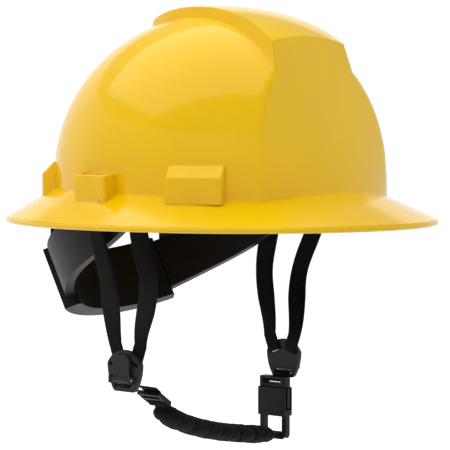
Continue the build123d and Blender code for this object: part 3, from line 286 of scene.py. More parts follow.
def glossy_shell(name, colour, edge_round):
    """Injection moulded shell: high gloss, faint orange peel, a painted highlight along its edges and corners and
    fine handling scratches.
    """
    paint = Paint(name, **{"Coat Weight": 0.12, "Coat Roughness": 0.04, "Specular IOR Level": 0.2})
    softened = paint.softened(edge_round)
    edge = paint.edges(softened, 3.0)
    cloudy = paint.noise(14.0, 4.0)
    colour_link = paint.mix(cloudy.ramp(0.35, 0.7), shade(colour, 0.97), shade(colour, 1.02))
    # Painted highlight: a lighter yellow along the edges and corners
    colour_link = paint.mix(edge * 0.22, colour_link, shade(colour, 1.12))
    scratch = paint.noise(900.0, 2.0, 0.5, paint.stretched((1.0, 0.03, 0.03), (0.4, 0.7, 1.1)))
    scratch_two = paint.noise(700.0, 2.0, 0.5, paint.stretched((0.03, 1.0, 0.05), (1.2, 0.2, 0.5)))
    marks = scratch.ramp(0.70, 0.78).high(scratch_two.ramp(0.72, 0.8)) * paint.noise(9.0).ramp(0.52, 0.7)
    rough = 0.11 + cloudy.ramp(0.3, 0.8, 0.0, 0.05) + marks * 0.18 + paint.noise(60.0).ramp(0.5, 0.8, 0.0, 0.04)
    peel = paint.noise(330.0, 2.0) + marks * 0.25 + paint.noise(2400.0, 2.0) * 0.08
    return paint.finish(colour_link, rough, paint.bump(peel, 0.025 * MM, softened))


def moulded(name, colour, grain, base_rough=0.46, edge_round=0.45 * MM, worn=0.35):
    """Moulded plastic: sparked grain, faint flow marks and edges rubbed smoother and lighter."""
    paint = Paint(name, **{"Specular IOR Level": 0.17})
    softened = paint.softened(edge_round)
    edge = paint.edges(softened)
    flow = paint.noise(26.0, 4.0, 0.6, paint.stretched((1.0, 1.0, 3.0)))
    fine = paint.noise(2600.0, 3.0)
    pits = paint.cells(1500.0)
    rubbed = edge * paint.noise(120.0).ramp(0.35, 0.65)
    tone = paint.mix(flow.ramp(0.3, 0.75), shade(colour, 0.86), shade(colour, 1.22))
    tone = paint.mix(rubbed * worn, tone, (*(min(1.0, c * 2.2 + 0.008) for c in colour), 1.0))
    rough = base_rough + fine.ramp(0.3, 0.7, -0.06, 0.08) - rubbed * 0.14 + flow.ramp(0.4, 0.8, 0.0, 0.05)
    return paint.finish(tone, rough, paint.bump(fine * 0.7 + pits * 0.6, grain, softened))


def webbing(name, colour, pitch, width):
    """Woven webbing on the strap's own map: u along it, v across it, both in metres."""
    paint = Paint(name, **{"Sheen Weight": 0.02, "Sheen Roughness": 0.45, "Specular IOR Level": 0.07})
    place = paint.node("ShaderNodeSeparateXYZ", {}, {0: paint.node("ShaderNodeTexCoord").outputs["UV"]})
    run, across = Value(paint, place.outputs[0]), Value(paint, place.outputs[1])
    rib = across / pitch
    lift = (rib * pi).sine()
    step = rib.whole() * (pi / 2)
    under = (run * (2 * pi / (pitch * 1.7)) + step).sine()
    weave = abs(lift) * (0.62 + under * 0.38)
    fibre = paint.noise(5200.0, 2.0)
    border = (abs(across) / (width / 2)).ramp(0.84, 0.94)
    height = weave * (1.0 - border * 0.55) + fibre * 0.16
    shine = weave.ramp(0.25, 0.95)
    # Painted highlight on the rib tops and painted shade in the grooves between them
    tone = paint.mix(shine, shade(colour, 0.55), shade(colour, 1.55))
    faded = paint.noise(45.0, 4.0).ramp(0.4, 0.75) * 0.35 + border * 0.25
    tone = paint.mix(faded, tone, (*(c * 1.9 + 0.004 for c in colour), 1.0))
    rough = 0.66 + fibre.ramp(0.3, 0.7, -0.05, 0.1) - shine * 0.12
    return paint.finish(tone, rough, paint.bump(height, 0.22 * MM))


def pad_fabric(name, colour, seam=None):
    """Soft knitted cover on the piece's own map, with loops, lint and, where asked, a line of seam stitches."""
    paint = Paint(name, **{"Sheen Weight": 0.04, "Sheen Roughness": 0.5, "Specular IOR Level": 0.07})
    place = paint.node("ShaderNodeSeparateXYZ", {}, {0: paint.node("ShaderNodeTexCoord").outputs["UV"]})
    run, across = Value(paint, place.outputs[0]), Value(paint, place.outputs[1])
    wale = abs((across * (pi / 0.00085)).sine())
    course = (run * (2 * pi / 0.0011) + abs((across * (pi / 0.00085)).sine()) * 2.2).sine()
    knit = wale * (0.6 + course * 0.4)
    lint = paint.noise(1400.0, 4.0, 0.6)
    # Painted highlight on the loop tops and painted shade between the loops
    tone = paint.mix(knit.ramp(0.2, 0.9), shade(colour, 0.6), shade(colour, 1.5))
    tone = paint.mix(lint.ramp(0.62, 0.75) * 0.25, tone, (*(c * 2 + 0.006 for c in colour), 1.0))
    height = knit + lint * 0.35
    if seam is not None:
        near = abs(abs(across) - seam)
        thread = (near < 0.0006) * ((run * (2 * pi / 0.0032)).sine() > -0.35)
        tone = paint.mix(thread * 0.8, tone, (*(c * 3.2 + 0.01 for c in colour), 1.0))
        height = height - near.ramp(0.0, 0.0016, 2.2, 0.0) + thread * 1.8
    rough = 0.8 + lint.ramp(0.3, 0.7, -0.08, 0.1)
    return paint.finish(tone, rough, paint.bump(height, 0.2 * MM))


def turned_steel(name, colour):
    """Plated steel with turning marks and dulled patches."""
    paint = Paint(name, **{"Metallic": 1.0})
    lines = paint.noise(3200.0, 2.0, 0.5, paint.stretched((0.04, 1.0, 1.0)))
    dull = paint.noise(180.0, 4.0)
    tone = paint.mix(dull.ramp(0.35, 0.75), shade(colour, 1.1), shade(colour, 0.72))
    rough = 0.24 + dull.ramp(0.4, 0.8, 0.0, 0.2) + lines * 0.06
    return paint.finish(tone, rough, paint.bump(lines, 0.01 * MM, paint.softened(0.2 * MM)))


# Making pieces

def mm(*spot):
    return Vector(spot) * MM


def add_piece(bm, name, material, body, nodes=(), smooth=40.0):
    """A finished object from a bmesh: outward faces, smooth shading with its sharp edges kept."""
    bmesh.ops.recalc_face_normals(bm, faces=bm.faces)
    mesh = bpy.data.meshes.new(name)
    bm.to_mesh(mesh)
    bm.free()
    mesh.shade_smooth()
    mesh.set_sharp_from_angle(angle=radians(smooth))
    mesh.materials.append(material)
    piece = bpy.data.objects.new(name, mesh)
    bpy.context.scene.collection.objects.link(piece)
    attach(piece, body)
    if nodes:
        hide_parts(*nodes)
    return piece


def paint_nodes(material, *names):
    """Gives carried-over nodes their finish."""
    for name in names:
        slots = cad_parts[name].data.materials
        slots.clear()
        slots.append(material)


def strap_section(bm, rounding):
    """A flat closed loop one wide and one thick, its narrow edges rounded."""
    made = bmesh.ops.create_circle(bm, segments=16, radius=0.5, cap_ends=False)
    edge = 0.5 - rounding
    half = [(0.5, 0.0), (0.5 - rounding * 0.35, 0.38), (edge, 0.5), (edge * 0.5, 0.5),
            (0.0, 0.5), (-edge * 0.5, 0.5), (-edge, 0.5), (-0.5 + rounding * 0.35, 0.38)]
    places = half + [(-x, -y) for x, y in half]
    ring = sorted(made["verts"], key=lambda v: atan2(v.co.y, v.co.x) % (2 * pi))
    for vert, (x, y) in zip(ring, places):
        vert.co = (x, y, 0)
    return ring


def round_section(bm, count):
    made = bmesh.ops.create_circle(bm, segments=count, radius=0.5, cap_ends=False)
    return sorted(made["verts"], key=lambda v: atan2(v.co.y, v.co.x) % (2 * pi))


def swept(rows, section, closed=False):
    """Extrudes a section through rows of (origin, across, along, width, thickness), in metres.

    The result is a bmesh with a map: u runs along the piece and v goes across it.
    """
    bm = bmesh.new()
    run_layer = bm.verts.layers.float.new("run")
    cross_layer = bm.verts.layers.float.new("cross")
    uv = bm.loops.layers.uv.new("UVMap")
    ring = section(bm)

    def placing(row):
        origin, across, along, width, thickness = row
        side = across.normalized()
        face = along.normalized().cross(side).normalized()
        side = face.cross(along.normalized())
        turn = Matrix((side * width, face * thickness, along.normalized())).transposed().to_4x4()
        return Matrix.Translation(origin) @ turn

    for vert in ring:
        vert[cross_layer] = vert.co.x * rows[0][3]
    last = placing(rows[0])
    bmesh.ops.transform(bm, matrix=last, verts=ring)
    first_ring, edges, run = list(ring), list({e for v in ring for e in v.link_edges}), 0.0
    for index in range(1, len(rows)):
        run += (rows[index][0] - rows[index - 1][0]).length
        made = bmesh.ops.extrude_edge_only(bm, edges=edges)["geom"]
        fresh = [g for g in made if isinstance(g, bmesh.types.BMVert)]
        edges = [g for g in made if isinstance(g, bmesh.types.BMEdge) and all(v in fresh for v in g.verts)]
        here = placing(rows[index])
        bmesh.ops.transform(bm, matrix=here @ last.inverted(), verts=fresh)
        for vert in fresh:
            vert[run_layer] = run
            vert[cross_layer] = vert[cross_layer] * rows[index][3] / rows[index - 1][3]
        last = here
    if closed:
        start_edges = [e for e in bm.edges if all(v in first_ring for v in e.verts) and e.is_boundary]
        bmesh.ops.bridge_loops(bm, edges=start_edges + edges)
    else:
        bmesh.ops.holes_fill(bm, edges=[e for e in bm.edges if e.is_boundary], sides=0)
    for face in bm.faces:
        for loop in face.loops:
            loop[uv].uv = (loop.vert[run_layer], loop.vert[cross_layer])
    return bm


def flowing(points, count, lead_in=None, lead_out=None):
    """Evenly spread points and directions on one smooth curve through the given points."""
    aims = []
    for index in range(len(points)):
        before, after = points[max(0, index - 1)], points[min(len(points) - 1, index + 1)]
        aims.append((after - before).normalized())
    aims[0] = (lead_in or aims[0]).normalized()
    aims[-1] = (lead_out or aims[-1]).normalized()
    dense = []
    for index in range(len(points) - 1):
        reach = (points[index + 1] - points[index]).length / 3
        dense += interpolate_bezier(points[index], points[index] + aims[index] * reach,
                                    points[index + 1] - aims[index + 1] * reach, points[index + 1], 24)[:-1]
    dense.append(points[-1])
    lengths = [0.0]
    for index in range(1, len(dense)):
        lengths.append(lengths[-1] + (dense[index] - dense[index - 1]).length)
    spots, place = [], 0
    for step in range(count + 1):
        goal = lengths[-1] * step / count
        while place < len(dense) - 2 and lengths[place + 1] < goal:
            place += 1
        part = (goal - lengths[place]) / max(1e-9, lengths[place + 1] - lengths[place])
        spots.append(dense[place].lerp(dense[place + 1], part))
    ways = []
    for index in range(count + 1):
        ways.append((spots[min(count, index + 1)] - spots[max(0, index - 1)]).normalized())
    if lead_in:
        ways[0] = lead_in.normalized()
    if lead_out:
        ways[-1] = lead_out.normalized()
    return spots, ways, lengths[-1]


def shell_spot(angle, side, height):
    """A point of the brim's root on the shell with its outward direction, in millimetres."""
    half_x, half_y = DOME_HALF[:2]
    spot = Vector((side * half_x * sin(radians(angle)), -half_y * cos(radians(angle)), height))
    out = Vector((side * sin(radians(angle)) / half_x, -cos(radians(angle)) / half_y, 0)).normalized()
    return spot, out


def flat_strap(rows, name, material, body, nodes):
    bm = swept(rows, lambda bm: strap_section(bm, STRAP_ROUND))
    return add_piece(bm, name, material, body, nodes, 50.0)


def add_loop(bm, rows):
    """Sweeps a closed loop of strap and adds it to a piece."""
    ring = swept(rows, lambda bm: strap_section(bm, STRAP_ROUND), closed=True)
    mesh = bpy.data.meshes.new("loop")
    ring.to_mesh(mesh)
    ring.free()
    bm.from_mesh(mesh)
    bpy.data.meshes.remove(mesh)


def materials():
    """The finishes, made once and shared by the operators."""
    if "shell_gloss" in bpy.data.materials:
        return bpy.data.materials
    sizes, colours = bpy.context.scene.hat_sizes, bpy.context.scene.hat_colours
    glossy_shell("shell_gloss", colours.shell, sizes.edge_round)
    moulded("dark_moulding", colours.dark, sizes.grain)
    moulded("grey_moulding", colours.grey, sizes.grain, 0.42, 0.5 * MM, 0.25)
    moulded("polished_knob", colours.dark, sizes.grain * 0.5, 0.32, 0.6 * MM, 0.5)
    webbing("harness_webbing", colours.webbing, sizes.rib_pitch, sizes.strap_width)
    webbing("crown_webbing", colours.webbing, sizes.rib_pitch * 1.3, 20 * MM)
    webbing("hang_webbing", colours.hang_webbing, sizes.rib_pitch, 20 * MM)
    pad_fabric("gathered_fabric", colours.pad)
    pad_fabric("brow_fabric", colours.pad, 13.6 * MM)
    turned_steel("plated_steel", colours.metal)
    return bpy.data.materials


# Operators

class HARDHAT_OT_shell(Operator):
    """Smooths a copy of the shell onto its true curves and gives it its glossy finish"""
    bl_idname = "hard_hat.shell"
    bl_label = "Shell"

    def execute(self, context):
        bm = bmesh.new()
        bm.from_mesh(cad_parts["shell"].data)
        bmesh.ops.remove_doubles(bm, verts=bm.verts, dist=2e-6)
        for limit in (9 * MM, 5.5 * MM):
            long = [e for e in bm.edges if e.calc_length() > limit]
            bmesh.ops.subdivide_edges(bm, edges=long, cuts=1)
            bmesh.ops.triangulate(bm, faces=[f for f in bm.faces if len(f.verts) > 3])
        self.settle(bm)
        bmesh.ops.dissolve_degenerate(bm, dist=1e-6, edges=bm.edges)
        piece = add_piece(bm, "Hat_Shell", materials()["shell_gloss"], "root", ["shell"], 13.0)
        if not piece.data.polygons:
            raise RuntimeError("the shell has no faces")
        return {"FINISHED"}

    def settle(self, bm):
        """Draws the new points onto the dome, the raised band and their inner faces."""
        lean = Matrix.Rotation(radians(-DOME_LEAN), 3, "X")
        centre = mm(0, 0, ROOT_HEIGHT + DOME_RISE)
        reach = 0.16 * MM
        band_half = (BAND_ROUND, DOME_HALF[1] + BAND_RISE, DOME_HALF[2] + BAND_RISE)
        forms = [tuple((half - inset) * MM for half in form)
                 for inset in (0.0, SHELL_WALL) for form in (DOME_HALF, band_half)]
        for vert in bm.verts:
            local = lean.inverted() @ (vert.co - centre)
            if local.z < -DOME_SKIRT * MM:
                continue
            axes = 3 if local.z > 0 else 2
            for half in forms:
                value = sum((c / h) ** 2 for c, h in zip(local[:axes], half)) - 1
                slope = Vector([2 * c / h ** 2 if i < axes else 0 for i, (c, h) in enumerate(zip(local, half))])
                if abs(value) / slope.length < reach:
                    local = local - slope * (value / slope.length_squared)
                    vert.co = centre + lean @ local
                    break


class HARDHAT_OT_mouldings(Operator):
    """Gives the headband, lugs, nape arms, ratchet, hangers, adjuster and buckle their moulded finish"""
    bl_idname = "hard_hat.mouldings"
    bl_label = "Dark mouldings"

    def execute(self, context):
        paint_nodes(materials()["dark_moulding"], "headband", "front_left_lug", "front_right_lug", "rear_left_lug",
                    "rear_right_lug", "left_nape_arm", "right_nape_arm", "left_temple_stud", "right_temple_stud",
                    "ratchet_housing", "ratchet_cover", "pinion", "left_tail", "right_tail",
                    "left_harness_hanger", "right_harness_hanger", "strap_adjuster", "buckle_male",
                    "front_buckle_prong", "rear_buckle_prong", "buckle_female")
        paint_nodes(materials()["polished_knob"], "ratchet_knob")
        return {"FINISHED"}


class HARDHAT_OT_adjusters(Operator):
    """Gives the gliders and their cam levers their grey moulded finish"""
    bl_idname = "hard_hat.adjusters"
    bl_label = "Grey adjusters"

    def execute(self, context):
        paint_nodes(materials()["grey_moulding"], "right_glider", "left_glider", "right_glider_lever",
                    "left_glider_lever")
        return {"FINISHED"}


class HARDHAT_OT_metal(Operator):
    """Gives the knob's screw and the lever pins their steel finish"""
    bl_idname = "hard_hat.metal"
    bl_label = "Steel parts"

    def execute(self, context):
        paint_nodes(materials()["plated_steel"], "knob_screw", "right_lever_pin", "left_lever_pin")
        return {"FINISHED"}


class HARDHAT_OT_crown_webs(Operator):
    """Weaves the two straps that cross over the head"""
    bl_idname = "hard_hat.crown_webs"
    bl_label = "Crown webs"

    def execute(self, context):
        for name, node, side, rise in (("Hat_Crown_Web_Left", "crown_web_left_front", 1, 66.0),
                                       ("Hat_Crown_Web_Right", "crown_web_right_front", -1, 68.4)):
            front, front_out = shell_spot(FRONT_ANGLE, side, ROOT_HEIGHT + WEB_SEAT)
            rear, rear_out = shell_spot(REAR_ANGLE, -side, ROOT_HEIGHT + WEB_SEAT)
            ends = [front + front_out * WEB_FACE, rear + rear_out * WEB_FACE]
            middle, half = (ends[0] + ends[1]) / 2, (ends[0] - ends[1]) / 2
            level = half.cross(UP).normalized()
            across = []
            for out in (front_out, rear_out):
                along_shell = out.cross(UP)
                across.append(along_shell if along_shell.dot(level) > 0 else -along_shell)
            crossing = -middle.x / half.x
            skew = crossing / (2 - 4 * crossing ** 2)
            drops = (16, 6, 0)
            rows = [(ends[0] - UP * drop, across[0], UP) for drop in drops]
            stations = 40
            for station in range(1, stations):
                turn = pi * station / stations
                spot = middle + half * cos(turn) + UP * rise * (sin(turn) + skew * sin(2 * turn))
                along = half * -sin(turn) + UP * rise * (cos(turn) + 2 * skew * cos(2 * turn))
                blend = min(1.0, min(station, stations - station) / 4)
                near = across[0] if station < stations / 2 else across[1]
                rows.append((spot, near.lerp(level, blend), along))
            rows += [(ends[1] - UP * drop, across[1], -UP) for drop in reversed(drops)]
            flat_strap([(o * MM, a, w, WEB_WIDTH * MM, WEB_THICKNESS * MM) for o, a, w in rows], name,
                       materials()["crown_webbing"], "root", [node])
        return {"FINISHED"}


class HARDHAT_OT_hang_straps(Operator):
    """Makes the flat grey straps that hang the nape arms from the shell"""
    bl_idname = "hard_hat.hang_straps"
    bl_label = "Hang straps"

    def execute(self, context):
        for name, node, side in (("Hat_Hang_Strap_Left", "left_hang_strap", 1),
                                 ("Hat_Hang_Strap_Right", "right_hang_strap", -1)):
            seat, out = shell_spot(REAR_ANGLE, side, 0)
            points = [(seat + out * x + UP * z) * MM for x, z in HANG_LINE]
            spots, ways, _ = flowing(points, 36)
            rows = [(spot, out.cross(UP), way, HANG_WIDTH * MM, HANG_THICKNESS * MM)
                    for spot, way in zip(spots, ways)]
            flat_strap(rows, name, materials()["hang_webbing"], "root", [node])
        return {"FINISHED"}


class HARDHAT_OT_harness_straps(Operator):
    """Weaves the four straps of the chin harness, looped on the hangers and threaded through the gliders"""
    bl_idname = "hard_hat.harness_straps"
    bl_label = "Harness straps"

    def execute(self, context):
        thick = context.scene.hat_sizes.strap_thickness / MM
        width = context.scene.hat_sizes.strap_width / MM
        for side, word in ((-1, "Right"), (1, "Left")):
            face, out = Vector((side * GLIDER_X, CHIN_Y, GLIDER_LEVELS[word])), Vector((side, 0, 0))
            for y_top, lean, bow, drift, where in (
                    (FRONT_LOOP_Y, 1, FRONT_BOW, {-1: -14.0, 1: 12.0}[side], "Front"),
                    (REAR_LOOP_Y, -1, REAR_BOW, {-1: -10.0, 1: 12.0}[side], "Rear")):
                spot_x = HANGER_HALF[0] * sqrt(1 - (y_top / HANGER_HALF[1]) ** 2)
                seat_out = Vector((side * spot_x / HANGER_HALF[0] ** 2, y_top / HANGER_HALF[1] ** 2, 0)).normalized()
                seat = Vector((side * spot_x, y_top, 0)) - seat_out * 0.5
                across_top = -seat_out.cross(UP) * side
                across_end = Vector((0, 1, 0)) * side * cos(STRAP_LEAN) + UP * sin(STRAP_LEAN) * lean * side
                down = Vector((0, 1, 0)) * sin(STRAP_LEAN) * lean - UP * cos(STRAP_LEAN)
                slot = face - Vector((0, 1, 0)) * lean * SLOT_PLACE[0] + UP * SLOT_PLACE[1]
                inboard = GLIDER_PLATE / 2 + SLOT_PLAY + thick / 2
                turn_middle = slot - down * STRAP_TURN - out * (inboard - STRAP_TURN)
                loop_low = BAR_LEVEL - HANGER_BAR / 2 - BAR_PLAY - thick / 2
                start = seat - seat_out * HANGER_BAR / 2 + UP * loop_low
                end = turn_middle - out * STRAP_TURN - down * (3.0 + 14.0 - SLOT_PLACE[1])
                if across_top.dot(across_end) < 0:
                    across_top = -across_top
                count = 44
                spots = [start + (end - start) * (i / count)
                         + Vector((side * bow, drift, 0)) * sin(pi * i / count) ** 2 for i in range(count + 1)]
                rows = []
                for index, spot in enumerate(spots):
                    share = index / count
                    along = (spots[min(count, index + 1)] - spots[max(0, index - 1)]).normalized()
                    if index == 0:
                        along = -UP
                    if index == count:
                        along = down
                    across = across_top * (1 - share) + across_end * share
                    across = (across - along * across.dot(along)).normalized()
                    narrowing = max(0.0, (share - NECK_SHARE) / (1 - NECK_SHARE))
                    rows.append((spot, across, along, width - (width - STRAP_NECK) * narrowing, thick))
                for step in range(7):
                    turn = pi / 2 * step / 6
                    rows.append((turn_middle + (down * sin(turn) - out * cos(turn)) * STRAP_TURN, across_end,
                                 down * cos(turn) + out * sin(turn), STRAP_NECK, thick))
                rows.append((slot + out * (GLIDER_PLATE / 2 - SLOT_PLAY), across_end, out, STRAP_NECK, thick))
                name = f"Hat_{word}_{where}_Strap"
                bm = swept([(o * MM, a, w, wide * MM, t * MM) for o, a, w, wide, t in rows],
                           lambda bm: strap_section(bm, STRAP_ROUND))
                self.loop(bm, seat, seat_out, width, thick)
                add_piece(bm, name, materials()["harness_webbing"], "root",
                          [f"{word.lower()}_{where.lower()}_strap"], 50.0)
        return {"FINISHED"}

    def loop(self, bm, seat, seat_out, width, thick):
        """The closed loop of strap round the hanger's bar."""
        middle = seat - seat_out * HANGER_BAR / 2 + UP * BAR_LEVEL
        half = HANGER_BAR / 2 + BAR_PLAY + thick / 2
        corner = BAR_ROUND + thick / 2
        across = seat_out.cross(UP)
        rows = []
        for quarter, (sx, sz) in enumerate(((1, 1), (-1, 1), (-1, -1), (1, -1))):
            for step in range(5):
                turn = pi / 2 * (quarter + step / 4)
                spot = (middle + seat_out * (sx * (half - corner) + corner * cos(turn))
                        + UP * (sz * (half - corner) + corner * sin(turn)))
                rows.append((spot * MM, across, seat_out * -sin(turn) + UP * cos(turn), width * MM, thick * MM))
        add_loop(bm, rows)


def chin_rows(points, width, thick, bend=1.6, steps=6):
    """Rows for a strap that bends in the chin plane; points are (x, z) in millimetres, turns rounded."""
    flat = [Vector((x, 0, z)) for x, z in points]
    line = [flat[0]]
    for index in range(1, len(flat) - 1):
        before, here, after = flat[index - 1], flat[index], flat[index + 1]
        into, away = (here - before).normalized(), (after - here).normalized()
        angle = into.angle(away)
        if angle < 0.02:
            line.append(here)
            continue
        reach = min(bend * sqrt((1 - cos(angle)) / (1 + cos(angle))), (here - before).length * 0.45,
                    (after - here).length * 0.45)
        line += interpolate_bezier(here - into * reach, here - into * reach * 0.42, here + away * reach * 0.42,
                                   here + away * reach, steps)
    line.append(flat[-1])
    full = []
    for index in range(len(line) - 1):
        gap = (line[index + 1] - line[index]).length
        parts = max(1, int(gap / 2.5))
        full += [line[index].lerp(line[index + 1], part / parts) for part in range(parts)]
    full.append(line[-1])
    rows = []
    for index, spot in enumerate(full):
        way = (full[min(len(full) - 1, index + 1)] - full[max(0, index - 1)]).normalized()
        rows.append(((spot + Vector((0, CHIN_Y, 0))) * MM, Vector((0, 1, 0)), way, width * MM, thick * MM))
    return rows


class HARDHAT_OT_drop_straps(Operator):
    """Makes the short straps between the gliders, the adjuster and the buckle"""
    bl_idname = "hard_hat.drop_straps"
    bl_label = "Drop straps"

    def execute(self, context):
        thick = context.scene.hat_sizes.strap_thickness / MM
        width = context.scene.hat_sizes.strap_width / MM
        drop = Vector((cos(ADJUSTER_LEAN), -sin(ADJUSTER_LEAN)))
        drop_up = Vector((sin(ADJUSTER_LEAN), cos(ADJUSTER_LEAN)))

        def adjuster(along, above):
            spot = Vector(ADJUSTER_SPOT) + drop * along + drop_up * above
            return spot.x, spot.y

        gap = -13.0 + 2.2 + 1.7
        right = [(-87.8, -106.3), (-82.6, -106.3), adjuster(-15.2, 1.5 + thick), adjuster(gap, 1.5 + thick),
                 adjuster(gap, 0)]
        left = [(87.8, -112.8), (82.6, -112.8), (82.6, -118.7), (75.0, -118.7)]
        for points, name, node in ((right, "Hat_Right_Drop_Strap", "right_drop_strap"),
                                   (left, "Hat_Left_Drop_Strap", "left_drop_strap")):
            flat_strap(chin_rows(points, width, thick), name, materials()["harness_webbing"], "root",
                       [node])
        return {"FINISHED"}


def chin_curve(count):
    """The chin strap's line from the adjuster's bar to the buckle's, as points and directions in metres."""
    start, end, sag = Vector((-50.0, CHIN_Y, -119.9)), Vector((75.0, CHIN_Y, -156.2)), 36.3
    points = [start]
    for across, down in ((0.05, 0.29), (0.24, 0.57), (0.46, 0.77), (0.72, 0.93), (0.88, 1.0)):
        points.append(start + Vector((125.0 * across, 0, -sag * down)))
    points.append(end)
    lead = Vector((cos(radians(62)), 0, -sin(radians(62))))
    return flowing([p * MM for p in points], count, lead, Vector((1, 0, 0)))


class HARDHAT_OT_chin_strap(Operator):
    """Makes the strap under the chin, sewn round the adjuster's bar and the buckle's bar"""
    bl_idname = "hard_hat.chin_strap"
    bl_label = "Chin strap"

    def execute(self, context):
        thick = context.scene.hat_sizes.strap_thickness / MM
        width = context.scene.hat_sizes.strap_width / MM
        spots, ways, _ = chin_curve(90)
        rows = [(spot, Vector((0, 1, 0)), way, width * MM, thick * MM) for spot, way in zip(spots, ways)]
        bm = swept(rows, lambda bm: strap_section(bm, STRAP_ROUND))
        for x, z in (ADJUSTER_SPOT, BUCKLE_BAR):
            add_loop(bm, [((Vector((x, CHIN_Y, z)) + Vector((cos(turn), 0, sin(turn))) * (CHIN_BAR + thick / 2)) * MM,
                           Vector((0, 1, 0)), Vector((-sin(turn), 0, cos(turn))), width * MM, thick * MM)
                          for turn in (2 * pi * step / 24 for step in range(24))])
        add_piece(bm, "Hat_Chin_Strap", materials()["harness_webbing"], "chin", ["chin_strap"], 50.0)
        return {"FINISHED"}


class HARDHAT_OT_chin_pad(Operator):
    """Gathers the padded sleeve round the chin strap"""
    bl_idname = "hard_hat.chin_pad"
    bl_label = "Chin pad"

    def execute(self, context):
        sizes = context.scene.hat_sizes
        count, around = 300, 72
        spots, ways, length = chin_curve(count)
        first, last = int(count * 0.055), int(count * 0.92)
        rows = []
        for index in range(first, last + 1):
            share = (index - first) / (last - first)
            ends = min(share, 1 - share) * length
            full = 1 - 0.30 * exp(-ends / (3.2 * MM)) - 0.04 * sin(pi * sizes.pad_folds * share) ** 8
            rows.append((spots[index], Vector((0, 1, 0)), ways[index], 23.6 * MM * full, 13.2 * MM * full))
        bm = swept(rows, lambda bm: round_section(bm, around))
        run_layer = bm.verts.layers.float["run"]
        bm.normal_update()
        reach = length * 0.865
        middles = [row[0] for row in rows]
        moves = {}
        for vert in bm.verts:
            place = min(len(middles) - 1, max(0, round(vert[run_layer] / reach * (len(middles) - 1))))
            arm = vert.co - middles[place]
            turn = atan2(arm.y, arm.dot(Vector((0, 0, 1))))
            share = vert[run_layer] / reach
            drift = noise.noise(Vector((vert[run_layer] * 60, turn * 0.8, 3.1))) * 0.9
            crease = sin(pi * sizes.pad_folds * share + turn * 0.75 + drift)
            cross = sin(pi * (sizes.pad_folds + 4) * share - turn * 1.1 + drift * 1.7)
            small = noise.noise(vert.co * 420) * 0.22 + noise.noise(vert.co * 900) * 0.1
            depth = (1 - abs(crease)) ** 5 * 0.9 + (1 - abs(cross)) ** 7 * 0.5 - small
            moves[vert] = -vert.normal * depth * sizes.fold_depth * min(1.0, 0.25 + min(share, 1 - share) * 9)
        for vert, move in moves.items():
            vert.co += move
        bmesh.ops.smooth_vert(bm, verts=[v for v in bm.verts if 0 < v[run_layer] < reach * 0.999], factor=0.4,
                              use_axis_x=True, use_axis_y=True, use_axis_z=True)
        pad = add_piece(bm, "Hat_Chin_Pad", materials()["gathered_fabric"], "chin", ["chin_pad"],
                        70.0)
        return {"FINISHED"}


class HARDHAT_OT_brow_pad(Operator):
    """Lines the headband with its stitched brow cushion"""
    bl_idname = "hard_hat.brow_pad"
    bl_label = "Brow pad"

    def execute(self, context):
        centre = Vector((0, -45.0, 15.45))
        half_x, half_y = 80.0 - 0.25, 52.0 - 0.25
        stations = 120
        rows, points = [], []
        for step in range(stations + 1):
            turn = radians(-90 - 66 + 132 * step / stations)
            points.append(centre + Vector((half_x * cos(turn), half_y * sin(turn), 0)))
        for index, spot in enumerate(points):
            along = (points[min(stations, index + 1)] - points[max(0, index - 1)]).normalized()
            ends = min(index, stations - index) * 1.7
            full = 1 - 0.35 * exp(-ends / 3.0)
            inward = UP.cross(along).normalized()
            puff = 1 + 0.05 * sin(index * 0.9)
            rows.append(((spot + inward * 1.15) * MM, UP, along, 34 * MM * (0.82 + 0.18 * full),
                         4.5 * MM * full * puff))
        bm = swept(rows, self.cushion)
        pad = add_piece(bm, "Hat_Brow_Pad", materials()["brow_fabric"], "root", ["brow_pad"], 60.0)
        return {"FINISHED"}

    def cushion(self, bm):
        """A crowned section: flat at the back, two sewn grooves near its edges."""
        made = bmesh.ops.create_circle(bm, segments=32, radius=0.5, cap_ends=False)
        ring = sorted(made["verts"], key=lambda v: atan2(v.co.y, v.co.x) % (2 * pi))
        for index, vert in enumerate(ring):
            turn = 2 * pi * index / 32
            x = 0.5 * cos(turn)
            crown = max(0.0, 1 - (2 * x) ** 2) ** 0.45
            groove = 0.45 * exp(-((abs(x) - 0.4) / 0.025) ** 2)
            vert.co = (x, (0.72 * crown * (1 - groove) if sin(turn) > 0 else -0.2 * min(1.0, crown * 3)), 0)
        return ring


